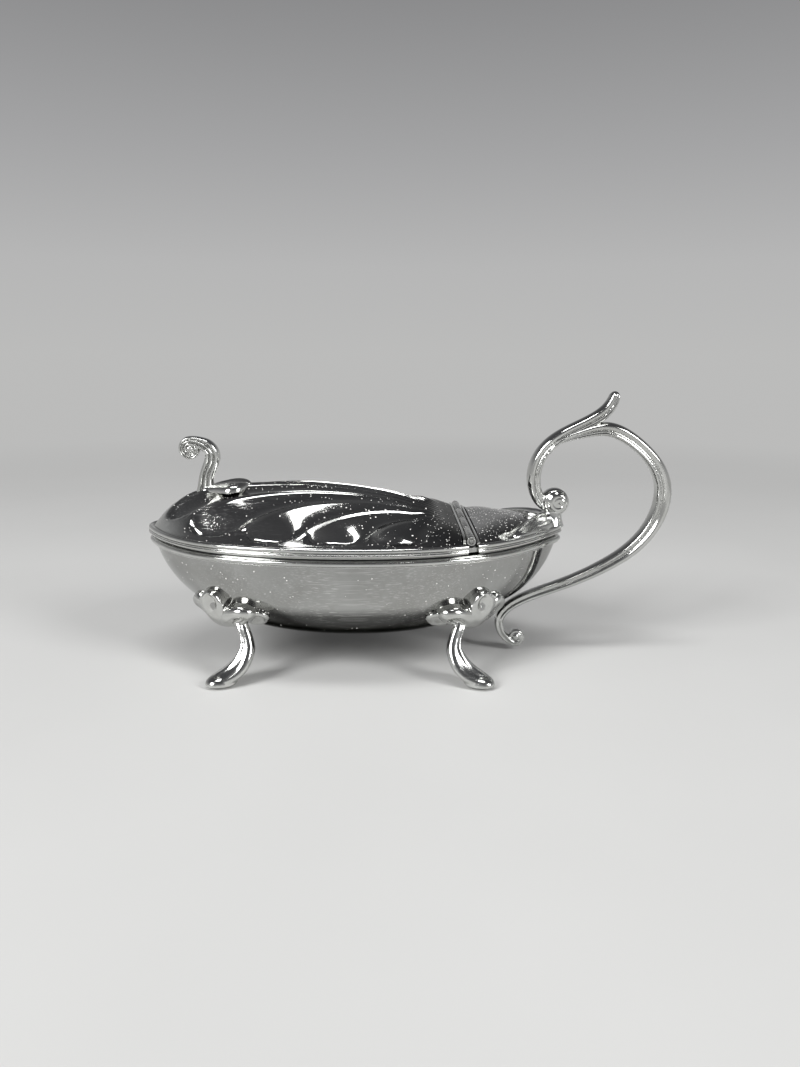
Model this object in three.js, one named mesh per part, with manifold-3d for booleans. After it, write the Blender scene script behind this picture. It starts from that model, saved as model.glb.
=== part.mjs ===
// Caviar server: a footed boat-shaped dish of silver plate, with a fluted shell lid hinged to a fixed rear deck,
// a scroll handle with a finger loop, four cast shell feet and a loose glass liner in the bowl.
// Millimetres, +Z up. +X points from the front tip to the handle, and the table is z = 0.
// Heights are measured from the table. While the pieces are made, x = 0 is the middle of the bowl's length.
import * as THREE from 'three';
import { mergeVertices } from 'three/addons/utils/BufferGeometryUtils.js';
import Module from 'manifold-3d';

const wasm = await Module();
wasm.setup();

// Bowl
const bowlLength = 152.6;
const bowlWidth = 82.4;
const rimHeight = 46.6;
const bowlBottom = 10.5;
const bowlWall = 1.2;
// how far the outline is drawn in at its front and rear tips, and how full its shoulders are
const frontTaper = 0.5;
const rearTaper = 0.66;
const shoulder = 0.93;
// gap between pieces that are soldered, seated or screwed together
const seam = 0.3;
// the space left clear round the bowl where the feet and the handle are soldered on
const bowlClear = 0.38;

// Rim wire on the bowl, and the moulding round the lid and the deck
const wireReach = 1.6;
const wireHeight = 2.5;
const mouldingReach = 1.9;
const mouldingHeight = 3.1;
const shadowGap = 1.1;
// how far the sheets of lid and deck start below the top of the moulding
const mouldingLip = 0.4;

// Lid and deck sheets
const lidSheet = 1.1;
const deckSheet = 1.2;
const lidRise = 15.5;
const lidCrownX = -22;
// power of the lid's cross curve: round over the bowl, squarer where it meets the straight hinge
const domePower = 2.2;
const hingePower = 9.2;
const squareFromX = 20;
const deckRise = 4.2;
const fluteDepthShare = 0.16;
const fluteStartX = 30;
const fluteFullX = 18;
// lowest that a flute's floor lies above the lid's edge
const fluteFloor = 0.2;

// Hinge
const hingeX = 40.3;
const hingeAboveMoulding = 0.8;
const hingeRadius = 1.6;
const pinRadius = 0.8;
const pinPlay = 0.05;
const railThick = 0.9;
const lidRailAbovePin = 1.9;
const deckRailAbovePin = 0.9;
const railBelowPin = 1.0;
const knuckleGap = 0.3;
const knuckleCount = 4;
const hingeEndInset = 1.2;

// Handle
// from the middle of the ball to the centre line of the loop where it is furthest out
const handleReach = 41.8;
const strapThick = 5.6;
const strapWidth = 6.4;
const spurThick = 4.2;
const rootBall = 5.1;
const ballInset = 3.2;
const ballRise = 8.4;
const loopContactRise = 12.6;
const tailBall = 3.6;
const tailOut = 1.3;
const tailThick = 3;
const tableClearance = 2.1;
const leafSpan = 22;
const leafThick = 2.6;
const leafRise = 1.6;
const neckTop = 2.6;
const neckFoot = 4.4;

// Finial
// from the bowl's front tip back to the stem
const stemSetBack = 20.1;
const stemThick = 4.8;
const stemRise = 18.4;
const voluteRadius = 4.3;
const voluteReach = 4.9;
const voluteDrop = 2.4;
const leafLength = 17.4;
const leafWidth = 13.6;
const leafHeight = 3.4;
// share of the leaf's length at which it is widest
const leafWidest = 0.64;

// Feet
// from each end of the bowl to the middle of the foot nearest to it
const footEndInset = 34.3;
const footCentreX = -2.2;
// the legs stand this far towards the handle from the middle of their shells
const legShift = 1.2;
const shellHeight = 26;
const shellSpan = 27;
const petalStand = 0.6;
const legWidth = 5.4;
const legDepth = 4.4;
const padLength = 13.8;
const padWidth = 9.2;
const padRise = 4.4;
// direction in which a foot points, in degrees from the length of the bowl
const footSplay = 38;

// Glass liner
const linerEndGap = 6.8;
const linerSideGap = 9.2;
const linerRimBelow = 3.6;
const linerGlass = 2.4;
const linerBase = 0.42;
const linerSeat = 0.5;

// Values that follow from the sizes above
const halfLength = bowlLength / 2;
const halfWidth = bowlWidth / 2;
const lidSeat = rimHeight + seam;
const mouldingBottom = rimHeight + shadowGap;
const mouldingTop = mouldingBottom + mouldingHeight;
const edgeTop = mouldingTop - mouldingLip;
const hingeZ = mouldingTop + hingeAboveMoulding;
const lidRailX = hingeX - hingeRadius - seam - railThick / 2;
const deckRailX = hingeX + hingeRadius + seam + railThick / 2;
const lidRearX = lidRailX - railThick / 2 - seam;
const deckFrontX = deckRailX + railThick / 2 + seam;
const shellInset = -seam;
const linerFrontX = -halfLength + linerEndGap;
const linerRearX = hingeX - linerEndGap;
const linerCentreX = (linerFrontX + linerRearX) / 2;
const degree = Math.PI / 180;
const around = 48;

// Geometry helpers

function solid(points, faces) {
  const welded = [];
  const seen = new Map();
  const place = points.map((p) => {
    const key = [p.x, p.y, p.z].map((v) => Math.round(v * 5000)).join(' ');
    if (!seen.has(key)) {
      seen.set(key, welded.length);
      welded.push(p);
    }
    return seen.get(key);
  });
  let tris = faces.map((f) => f.map((i) => place[i])).filter(([a, b, c]) => a !== b && b !== c && a !== c);
  const volume = tris.reduce((sum, [a, b, c]) => {
    const cross = new THREE.Vector3().crossVectors(welded[b], welded[c]);
    return sum + welded[a].dot(cross);
  }, 0);
  if (volume < 0) tris = tris.map(([a, b, c]) => [a, c, b]);
  const geometry = new THREE.BufferGeometry();
  const flat = welded.flatMap((p) => [p.x, p.y, p.z]);
  geometry.setAttribute('position', new THREE.Float32BufferAttribute(flat, 3));
  geometry.setIndex(tris.flat());
  return geometry;
}

// A solid through closed rings of points: ends capped, or joined where the row of rings is itself a loop.
function loft(rings, looped = false) {
  const n = rings[0].length;
  const points = rings.flat();
  const faces = [];
  const spans = looped ? rings.length : rings.length - 1;
  for (let i = 0; i < spans; i++) {
    const next = (i + 1) % rings.length;
    for (let j = 0; j < n; j++) {
      const k = (j + 1) % n;
      faces.push([i * n + j, i * n + k, next * n + k], [i * n + j, next * n + k, next * n + j]);
    }
  }
  if (!looped) {
    for (const row of [0, rings.length - 1]) {
      const centre = points.length;
      const mean = rings[row].reduce((sum, p) => sum.add(p), new THREE.Vector3()).divideScalar(n);
      points.push(mean);
      for (let j = 0; j < n; j++) {
        const k = (j + 1) % n;
        faces.push(row ? [row * n + j, row * n + k, centre] : [row * n + k, row * n + j, centre]);
      }
    }
  }
  return solid(points, faces);
}

// A thin solid between an upper and a lower grid of points of the same rows and columns.
function slab(top, bottom) {
  const rows = top.length;
  const cols = top[0].length;
  const points = [...top.flat(), ...bottom.flat()];
  const below = rows * cols;
  const faces = [];
  for (let i = 0; i < rows - 1; i++) {
    for (let j = 0; j < cols - 1; j++) {
      const a = i * cols + j;
      faces.push([a, a + 1, a + cols + 1], [a, a + cols + 1, a + cols]);
      const c = below + a;
      faces.push([c, c + cols + 1, c + 1], [c, c + cols, c + cols + 1]);
    }
  }
  const edge = [];
  for (let j = 0; j < cols; j++) edge.push(j);
  for (let i = 1; i < rows; i++) edge.push(i * cols + cols - 1);
  for (let j = cols - 2; j >= 0; j--) edge.push((rows - 1) * cols + j);
  for (let i = rows - 2; i > 0; i--) edge.push(i * cols);
  edge.forEach((a, i) => {
    const b = edge[(i + 1) % edge.length];
    faces.push([a, below + b, b], [a, below + a, below + b]);
  });
  return solid(points, faces);
}

function toManifold(geometry) {
  let g = geometry.clone();
  g.deleteAttribute('normal');
  g.deleteAttribute('uv');
  g = mergeVertices(g, 1e-4);
  const vertProperties = new Float32Array(g.attributes.position.array);
  const triVerts = new Uint32Array(g.index.array);
  return new wasm.Manifold(new wasm.Mesh({ numProp: 3, vertProperties, triVerts }));
}

function fromManifold(manifold) {
  const mesh = manifold.getMesh();
  const geometry = new THREE.BufferGeometry();
  geometry.setAttribute('position', new THREE.Float32BufferAttribute(mesh.vertProperties, 3));
  geometry.setIndex(Array.from(mesh.triVerts));
  return geometry;
}

function smooth(from, to, value) {
  return THREE.MathUtils.smoothstep(value, from, to);
}

// A smooth value between [x, value] pairs of rising x.
function along(pairs, x) {
  const last = pairs.length - 1;
  if (x <= pairs[0][0]) return pairs[0][1];
  if (x >= pairs[last][0]) return pairs[last][1];
  const i = pairs.findIndex((pair) => pair[0] > x) - 1;
  const share = (x - pairs[i][0]) / (pairs[i + 1][0] - pairs[i][0]);
  const slope = (k) => {
    const a = pairs[Math.max(k - 1, 0)];
    const b = pairs[Math.min(k + 1, last)];
    return (b[1] - a[1]) / (b[0] - a[0]);
  };
  const width = pairs[i + 1][0] - pairs[i][0];
  const s2 = share * share;
  const s3 = s2 * share;
  return (2 * s3 - 3 * s2 + 1) * pairs[i][1] + (s3 - 2 * s2 + share) * width * slope(i)
    + (3 * s2 - 2 * s3) * pairs[i + 1][1] + (s3 - s2) * width * slope(i + 1);
}

// Outline of the bowl at its rim: an oval drawn in towards both tips. The angle is measured from +X.
function rimPoint(angle, offset = 0) {
  const at = (a) => {
    const c = Math.cos(a);
    const s = Math.sin(a);
    const taper = c < 0 ? frontTaper * (-c) ** 8 : rearTaper * c ** 5;
    return new THREE.Vector2(halfLength * c, halfWidth * Math.sign(s) * Math.abs(s) ** shoulder * (1 - taper));
  };
  const step = 1e-3;
  const tangent = at(angle + step).sub(at(angle - step)).normalize();
  return at(angle).add(new THREE.Vector2(tangent.y, -tangent.x).multiplyScalar(offset));
}

// Angle on the outline, on the +Y side, at which it has a given x.
function rimAngle(x, offset = 0) {
  let low = 0;
  let high = Math.PI;
  for (let i = 0; i < 40; i++) {
    const middle = (low + high) / 2;
    if (rimPoint(middle, offset).x > x) low = middle;
    else high = middle;
  }
  return (low + high) / 2;
}

function halfWidthAt(x, offset = 0) {
  return Math.max(rimPoint(rimAngle(x, offset), offset).y, 0);
}

// Bowl profile from its bottom, 0, to its rim, 1: share of the outline's size, and share of the height.
function profile(s) {
  const r = 1 - s;
  return { size: 1.98 * r * r * s + 2.79 * r * s * s + s ** 3, rise: 1.02 * r * s * s + s ** 3 };
}

function profileSizeAtRise(rise) {
  let low = 0;
  let high = 1;
  for (let i = 0; i < 40; i++) {
    const middle = (low + high) / 2;
    if (profile(middle).rise < rise) low = middle;
    else high = middle;
  }
  return profile(low).size;
}

function bowlRing(s, grow, bottom, count = around) {
  const { size, rise } = profile(s);
  const z = bottom + (rimHeight - bottom) * rise;
  return Array.from({ length: count }, (_, i) => {
    const p = rimPoint((2 * Math.PI * i) / count);
    const x = p.x * (1 + grow / halfLength) * size;
    const y = p.y * (1 + grow / halfWidth) * size;
    return new THREE.Vector3(x, y, z);
  });
}

function bowlSizeAt(z) {
  return profileSizeAtRise((z - bowlBottom) / (rimHeight - bowlBottom));
}

function bowlOuterX(z) {
  return halfLength * bowlSizeAt(z);
}

function bowlOuterY(x, z) {
  const size = bowlSizeAt(z);
  return halfWidthAt(x / size) * size;
}

const bowlSteps = [0.1, 0.22, 0.34, 0.46, 0.58, 0.69, 0.79, 0.87, 0.94, 1];

// The space that the bowl and a seam round it take, for cutting what is soldered to it.
const bowlEnvelope = toManifold(loft(bowlSteps.map((s) => bowlRing(s, bowlClear, bowlBottom - bowlClear))));

// Bowl, rim wire and mouldings

function bowl() {
  const outside = bowlSteps.map((s) => bowlRing(s, 0, bowlBottom));
  const inside = bowlSteps.map((s) => bowlRing(s, -bowlWall, bowlBottom + bowlWall)).reverse();
  return loft([...outside, ...inside]);
}

// A strip of constant section along the outline. The section's points are [outwards, z].
function outlineStrip(section, from, to, steps) {
  const looped = to - from > 2 * Math.PI - 1e-6;
  const count = looped ? steps : steps + 1;
  const rings = Array.from({ length: count }, (_, i) => {
    const angle = from + ((to - from) * i) / steps;
    return section.map(([out, z]) => {
      const p = rimPoint(angle, out);
      return new THREE.Vector3(p.x, p.y, z);
    });
  });
  return loft(rings, looped);
}

function rimWire() {
  const top = rimHeight;
  const section = [
    [seam, top],
    [seam + wireReach * 0.45, top],
    [seam + wireReach * 0.9, top - wireHeight * 0.22],
    [seam + wireReach, top - wireHeight * 0.5],
    [seam + wireReach * 0.8, top - wireHeight * 0.82],
    [seam, top - wireHeight],
  ];
  return outlineStrip(section, 0, 2 * Math.PI, around);
}

function moulding(from, to, steps) {
  const section = [
    [0, mouldingBottom],
    [mouldingReach * 0.7, mouldingBottom],
    [mouldingReach, mouldingBottom + mouldingHeight * 0.3],
    [mouldingReach * 0.84, mouldingBottom + mouldingHeight * 0.52],
    [mouldingReach * 0.9, mouldingBottom + mouldingHeight * 0.74],
    [mouldingReach * 0.45, mouldingTop],
    [0, mouldingTop],
  ];
  return outlineStrip(section, from, to, steps);
}

// Lid

// Crown line of the lid: shares of the way from the front tip to the crown, or on to the hinge,
// and of the rise.
const crownStart = -halfLength - shellInset;
const hingeCrown = (hingeZ + lidRailAbovePin - edgeTop) / lidRise;
const frontCrown = [[0, 0], [0.093, 0.37], [0.204, 0.66], [0.352, 0.84], [0.593, 0.96]];
const rearCrown = [[0, 1], [0.236, 0.94], [0.439, 0.84], [0.642, 0.68], [0.794, 0.49], [1, hingeCrown]];
const lidCrownLine = [
  ...frontCrown.map(([share, rise]) => [crownStart + share * (lidCrownX - crownStart), rise]),
  ...rearCrown.map(([share, rise]) => [lidCrownX + share * (lidRearX - lidCrownX), rise]),
];

function domeZ(x, y) {
  const half = Math.max(halfWidthAt(x, shellInset), 1e-3);
  const power = domePower + (hingePower - domePower) * smooth(squareFromX, lidRearX, x);
  const side = Math.min(Math.abs(y) / half, 1) ** power;
  return edgeTop + lidRise * along(lidCrownLine, x) * (1 - side);
}

// The fan of the shell: for each ridge its start on the hinge edge, the point it bends round and its angle
// at the rim.
// Starts and bends are shares of half the bowl's length and width.
const fanEnd = rimAngle(lidRearX, shellInset);
const fanEdge = halfWidthAt(lidRearX, shellInset) / halfWidth;
const fan = [
  { q: 0, start: 0, bend: [-0.577, 0], rim: Math.PI },
  { q: 0.5, start: 0.049, bend: [-0.603, 0.087], rim: 172 * degree },
  { q: 1.5, start: 0.133, bend: [-0.655, 0.364], rim: 148 * degree },
  { q: 2.5, start: 0.218, bend: [-0.472, 0.57], rim: 123.5 * degree },
  { q: 3.5, start: 0.291, bend: [-0.144, 0.68], rim: 106 * degree },
  { q: 4.5, start: 0.364, bend: [0.118, 0.704], rim: 88 * degree },
  { q: 5.5, start: 0.583, bend: [0.328, 0.777], rim: 71 * degree },
  { q: 6.5, start: fanEdge, bend: [lidRearX / halfLength, fanEdge], rim: fanEnd },
];
const fanLast = fan[fan.length - 1].q;

function fanPoint(q, v) {
  const pick = (value) => along(fan.map((f) => [f.q, value(f)]), Math.abs(q));
  const side = q < 0 ? -1 : 1;
  const rim = rimPoint(pick((f) => f.rim), shellInset);
  const w = 1 - v;
  const bendX = halfLength * pick((f) => f.bend[0]);
  const bendY = halfWidth * pick((f) => f.bend[1]);
  const x = w * w * lidRearX + 2 * w * v * bendX + v * v * rim.x;
  const y = w * w * halfWidth * pick((f) => f.start) + 2 * w * v * bendY + v * v * rim.y;
  return new THREE.Vector2(x, side * y);
}

function lidTop(q, v) {
  const p = fanPoint(q, v);
  const lane = Math.abs(q) < 0.5 ? q + 0.5 : (Math.abs(q) - 0.5) % 1;
  const fluted = Math.abs(q) < fanLast - 1 ? 1 : 0;
  const width = fanPoint(Math.abs(q) + 0.5, v).distanceTo(fanPoint(Math.abs(q) - 0.5, v));
  const start = 1 - smooth(fluteFullX, fluteStartX, p.x);
  const depth = fluted * fluteDepthShare * width * Math.sin(Math.PI * lane) * start;
  const dome = domeZ(p.x, p.y);
  return new THREE.Vector3(p.x, p.y, Math.max(dome - depth, Math.min(dome, edgeTop + fluteFloor)));
}

const fanRows = [0, 0.12, 0.26, 0.4, 0.53, 0.65, 0.76, 0.86, 0.94, 1];

const fanColumns = Array.from({ length: fanLast * 8 + 1 }, (_, i) => i / 4 - fanLast);

function lidGrid(lift) {
  return fanRows.map((v) => fanColumns.map((q) => lidTop(q, v).add(new THREE.Vector3(0, 0, lift))));
}

function lidShell() {
  const top = lidGrid(0);
  const bottom = fanRows.map((v, i) => top[i].map((p) => {
    return new THREE.Vector3(p.x, p.y, v === 1 ? lidSeat : p.z - lidSheet);
  }));
  return slab(top, bottom);
}

// Deck: the fixed plate between the hinge and the rear tip, a little crowned
const deckRearX = halfLength + shellInset;
const deckLength = deckRearX - deckFrontX;
const deckFrontCrown = (hingeZ + deckRailAbovePin - edgeTop) / deckRise;
// shares of the deck's length, and of its rise
const deckCrown = [[0, deckFrontCrown], [0.215, 0.9], [0.43, 1], [0.675, 0.82], [0.86, 0.5], [1, 0]];

function deckZ(x, share) {
  const back = (x - deckFrontX) / deckLength;
  const power = 7 - 4.4 * smooth(0, 0.37, back);
  return edgeTop + deckRise * along(deckCrown, back) * (1 - Math.abs(share) ** power);
}

function deckGrid(lift) {
  const rows = [0, 0.14, 0.3, 0.46, 0.62, 0.77, 0.9, 1];
  const shares = [-1, -0.92, -0.75, -0.5, -0.25, 0, 0.25, 0.5, 0.75, 0.92, 1];
  return rows.map((row) => {
    const x = deckFrontX + deckLength * row;
    const half = row === 1 ? 0 : halfWidthAt(x, shellInset);
    return shares.map((share) => new THREE.Vector3(x, half * share, deckZ(x, share) + lift));
  });
}

function deck() {
  const top = deckGrid(0);
  const rows = top.length;
  const bottom = top.map((row, i) => row.map((p, j) => {
    const edge = i === rows - 1 || j === 0 || j === row.length - 1;
    return new THREE.Vector3(p.x, p.y, edge ? lidSeat : p.z - deckSheet);
  }));
  return slab(top, bottom);
}

// Hinge: rails along both edges of the split, knuckles in turn on lid and deck, and one pin through them all
const barrelHalf = halfWidthAt(hingeX, shellInset) - hingeEndInset;

function rail(x, above) {
  const box = new THREE.BoxGeometry(railThick, 2 * barrelHalf, above + railBelowPin);
  return box.translate(x, 0, hingeZ + (above - railBelowPin) / 2);
}

function knuckle(index) {
  const length = (2 * barrelHalf) / knuckleCount;
  const from = -barrelHalf + index * length + knuckleGap / 2;
  const to = from + length - knuckleGap;
  const bore = pinRadius + pinPlay;
  const section = [[bore, from], [hingeRadius, from], [hingeRadius, to], [bore, to], [bore, from]];
  const tube = new THREE.LatheGeometry(section.map(([r, y]) => new THREE.Vector2(r, y)), 16);
  return tube.translate(hingeX, 0, hingeZ);
}

function hingePin() {
  const pin = new THREE.CylinderGeometry(pinRadius, pinRadius, 2 * barrelHalf + 0.6, 16);
  return pin.translate(hingeX, 0, hingeZ);
}

// Handle

// A strap along a curve in the plane y = 0. Each station is [x, z, thickness in that plane, width across it].
function strap(stations, steps, grow = 0, sides = 8) {
  const centres = stations.map(([x, z]) => new THREE.Vector3(x, 0, z));
  const curve = new THREE.CatmullRomCurve3(centres, false, 'centripetal');
  const last = stations.length - 1;
  const rings = Array.from({ length: steps + 1 }, (_, i) => {
    const t = i / steps;
    const centre = curve.getPoint(t);
    const tangent = curve.getTangent(t);
    const normal = new THREE.Vector3(-tangent.z, 0, tangent.x);
    const place = Math.min(Math.floor(t * last), last - 1);
    const share = t * last - place;
    const thick = THREE.MathUtils.lerp(stations[place][2], stations[place + 1][2], share) / 2 + grow;
    const wide = THREE.MathUtils.lerp(stations[place][3], stations[place + 1][3], share) / 2 + grow;
    return Array.from({ length: sides }, (_, k) => {
      const a = (2 * Math.PI * k) / sides;
      const p = centre.clone().addScaledVector(normal, thick * Math.cos(a));
      p.y += wide * Math.sin(a);
      return p;
    });
  });
  return loft(rings);
}

function ball(radius, x, z, across = radius) {
  return new THREE.SphereGeometry(1, 14, 9).scale(radius, across, radius).translate(x, 0, z);
}

const rearX = halfLength + mouldingReach;
const ballX = rearX - ballInset;
const ballZ = mouldingTop + ballRise;

// Stations of the handle: out and up as shares of its reach, then thickness and width as shares of the strap's.
const scrollLine = [
  [-0.081, -0.057, 0.7, 0.8],
  [-0.148, 0.005, 0.84, 0.9],
  [-0.199, 0.124, 0.94, 1],
  [-0.211, 0.244, 0.98, 1],
  [-0.177, 0.373, 1, 1],
  [-0.089, 0.49, 1, 1],
  [0.043, 0.586, 1, 1],
];
// the same for the spur at the scroll's tip, its thickness as a share of the spur's
const spurLine = [
  [0.201, 0.67, 1.15, 1],
  [0.333, 0.756, 1, 0.95],
  [0.431, 0.856, 0.9, 0.85],
  [0.488, 0.986, 0.62, 0.6],
];

function stationsFrom(line, x, z, reach, thick) {
  return line.map(([out, up, t, w]) => [x + out * reach, z + up * reach, t * thick, w * strapWidth]);
}

function upperScroll(grow = 0) {
  const stations = [
    ...stationsFrom(scrollLine, ballX, ballZ, handleReach, strapThick),
    ...stationsFrom(spurLine, ballX, ballZ, handleReach, spurThick),
  ];
  const strand = toManifold(strap(stations, 24, grow));
  return strand.add(toManifold(ball(rootBall + grow, ballX, ballZ)));
}

const contactZ = bowlBottom + loopContactRise;
const contactX = bowlOuterX(contactZ);
const tailX = contactX + tailOut;
const tailZ = tableClearance + tailBall;

// The loop from the ball round to the strap, the strap measured from where it meets the bowl, and the tail that
// curls up at its end, measured from the tail's ball in that ball's radii.
const loopLine = [
  [0.167, 0.622, 0.8, 0.85],
  [0.323, 0.646, 0.9, 1],
  [0.49, 0.648, 1, 1],
  [0.636, 0.596, 0.96, 1],
  [0.785, 0.493, 0.94, 1],
  [0.904, 0.349, 1, 1],
  [0.986, 0.182, 1.06, 1],
  [1, 0.033, 1.08, 1],
  [0.976, -0.182, 1.04, 1],
  [0.911, -0.316, 1, 1],
  [0.811, -0.421, 0.94, 1],
  [0.682, -0.531, 0.88, 1],
];
const strapLine = [
  [0.794, 0.208, 0.8, 0.95],
  [0.612, 0.132, 0.76, 0.92],
  [0.428, 0.072, 0.72, 0.9],
  [0.244, 0.019, 0.72, 0.88],
  [0.036, -0.033, 0.8, 0.85],
  [-0.05, -0.112, 0.62, 0.8],
];
const tailLine = [
  [-1.722, 2.806, 1, 0.7],
  [-2.083, 1.722, 1, 0.65],
  [-1.861, 0.556, 1, 0.65],
  [-1.25, -0.306, 1, 0.62],
  [-0.444, -0.528, 0.9, 0.6],
];

function loop() {
  const stations = [
    ...stationsFrom(loopLine, ballX, ballZ, handleReach, strapThick),
    ...stationsFrom(strapLine, contactX, contactZ, handleReach, strapThick),
    ...stationsFrom(tailLine, tailX, tailZ, tailBall, tailThick),
  ];
  const strand = toManifold(strap(stations, 38));
  return strand.add(toManifold(ball(tailBall, tailX, tailZ)));
}

function handleLoop() {
  return fromManifold(loop().subtract(upperScroll(seam)).subtract(bowlEnvelope));
}

// Leaf at the handle's root: a middle lobe, two side lobes and the neck under the ball, laid on the deck
function lobe(x, y, z, size, turn) {
  const lump = new THREE.SphereGeometry(1, 12, 8).scale(...size);
  return toManifold(lump.rotateZ(turn).translate(x, y, z));
}

function rootLeaf() {
  const z = edgeTop + leafRise;
  const n = leafSpan;
  let leaf = lobe(ballX - 0.27 * n, 0, z + leafRise / 2, [0.36 * n, 0.27 * n, leafThick], 0);
  for (const side of [-1, 1]) {
    leaf = leaf.add(lobe(ballX - 0.44 * n, side * 0.455 * n, z, [n / 2, n / 5, leafThick], side * -54 * degree));
  }
  const neck = new THREE.CylinderGeometry(neckTop, neckFoot, ballZ - z, 12).rotateX(Math.PI / 2);
  leaf = leaf.add(toManifold(neck.translate(ballX - neckFoot * 0.27, 0, (ballZ + z) / 2)));
  const under = deckGrid(seam);
  const floor = under.map((row) => row.map((p) => new THREE.Vector3(p.x, p.y, bowlBottom)));
  const inner = shellInset - seam;
  const outer = bowlWidth / 2;
  const band = [[inner, bowlBottom], [outer, bowlBottom], [outer, ballZ], [inner, ballZ]];
  const edge = toManifold(outlineStrip(band, 0, 2 * Math.PI, around));
  const rest = toManifold(slab(under, floor)).add(edge);
  return fromManifold(leaf.subtract(rest).subtract(upperScroll(seam)));
}

// Finial: an S-scroll with a volute, and behind it a leaf that lies on the lid's crown.
// Both are made too deep, the leaf by this much, and cut to the flutes under them.
const finialSink = 4;
const stemX = -halfLength + stemSetBack;
const stemFoot = domeZ(stemX, 0);
const stemTop = stemFoot + stemRise;

// Stations of the stem: out and up as shares of its rise, then thickness and width as shares of the stem's.
const stemLine = [
  [-0.022, -0.109, 1.15, 1.05],
  [0.016, 0.26, 1, 1],
  [0.092, 0.45, 0.94, 0.98],
  [0.163, 0.63, 0.9, 1],
  [0.168, 0.79, 0.9, 1],
  [0.065, 0.922, 0.9, 1],
  [-0.098, 1, 0.86, 1],
];

function finialStem(grow = 0) {
  const s = stemThick;
  const stations = stemLine.map(([out, up, t, w]) => {
    return [stemX + out * stemRise, stemFoot + up * stemRise, t * s, w * s];
  });
  const strand = toManifold(strap(stations, 16, grow));
  const volute = ball(voluteRadius + grow, stemX - voluteReach, stemTop - voluteDrop, s * 0.55 + grow);
  return strand.add(toManifold(volute));
}

function lidUnderlay() {
  const under = lidGrid(seam);
  const floor = under.map((row) => row.map((p) => new THREE.Vector3(p.x, p.y, rimHeight)));
  return toManifold(slab(under, floor));
}

function finialLeaf() {
  const steps = 10;
  const half = 11;
  const rings = Array.from({ length: steps + 1 }, (_, i) => {
    const t = 1 - 0.98 * (1 - i / steps) ** 1.4;
    const x = stemX + leafLength * t;
    const behind = Math.max((t - leafWidest) / (1 - leafWidest), 0);
    const round = Math.sqrt(Math.max(1 - behind ** 2, 0.01));
    const spread = smooth(0, leafWidest, t);
    const wide = (leafWidth / 2) * (0.35 + 0.65 * spread) * round;
    const high = leafHeight * (0.55 + 0.45 * spread) * round;
    return Array.from({ length: half + 1 }, (_, k) => {
      const a = (Math.PI * k) / half;
      const y = wide * Math.cos(a);
      return new THREE.Vector3(x, y, domeZ(x, y) - finialSink + (high + finialSink) * Math.sin(a));
    });
  });
  return fromManifold(toManifold(loft(rings)).subtract(lidUnderlay()).subtract(finialStem(seam)));
}

function finialScroll() {
  return fromManifold(finialStem().subtract(lidUnderlay()));
}

// Feet: a shell of three petals on the bowl's side, a keeled leg, and a spoon-shaped pad, flat underneath
const footX = halfLength - footEndInset;
// Where the petals meet, and the tip of each: out from the shell's middle, up from its height, half width.
// All are shares of the shell's span.
const petalRoot = [-0.044, -0.122];
const petals = [
  [-0.496, 0.089, 0.141],
  [0.2, 0.326, 0.156],
  [0.515, 0.089, 0.137],
];
// share of its length by which each petal runs past the root, so that the three join
const petalOverlap = 0.2;
// Centre line of the leg: out from its middle, away from the bowl, and height, as shares of the shell's height,
// then its width and depth there as shares of the leg's own.
const legLine = [
  [-0.1, 0.062, 0.94, 1.15, 0.9],
  [-0.162, 0.115, 0.79, 1.1, 0.95],
  [-0.2, 0.169, 0.62, 0.95, 1],
  [-0.208, 0.2, 0.49, 1, 1],
  [-0.154, 0.242, 0.35, 1.3, 0.95],
  [-0.035, 0.3, 0.2, 1.55, 0.8],
  [0.115, 0.369, 0.1, 1.4, 0.6],
];
const padOut = 2.2;
const padAway = 9.2;

function petal(sx, sy, [out, up, wide]) {
  const onSide = (o, u) => {
    const x = footCentreX + sx * (footX + o * shellSpan);
    const z = shellHeight + u * shellSpan;
    return new THREE.Vector3(x, sy * (bowlOuterY(x, z) + petalStand), z);
  };
  const tip = onSide(out, up);
  const root = onSide(...petalRoot).lerp(tip, -petalOverlap);
  const half = root.distanceTo(tip) / 2;
  const halfWide = wide * shellSpan;
  const shape = new THREE.SphereGeometry(1, 10, 8).rotateZ(Math.PI / 2).scale(half, halfWide, halfWide);
  const towards = tip.clone().sub(root).normalize();
  shape.applyQuaternion(new THREE.Quaternion().setFromUnitVectors(new THREE.Vector3(1, 0, 0), towards));
  const middle = tip.add(root).divideScalar(2);
  return toManifold(shape.translate(middle.x, middle.y, middle.z));
}

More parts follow.
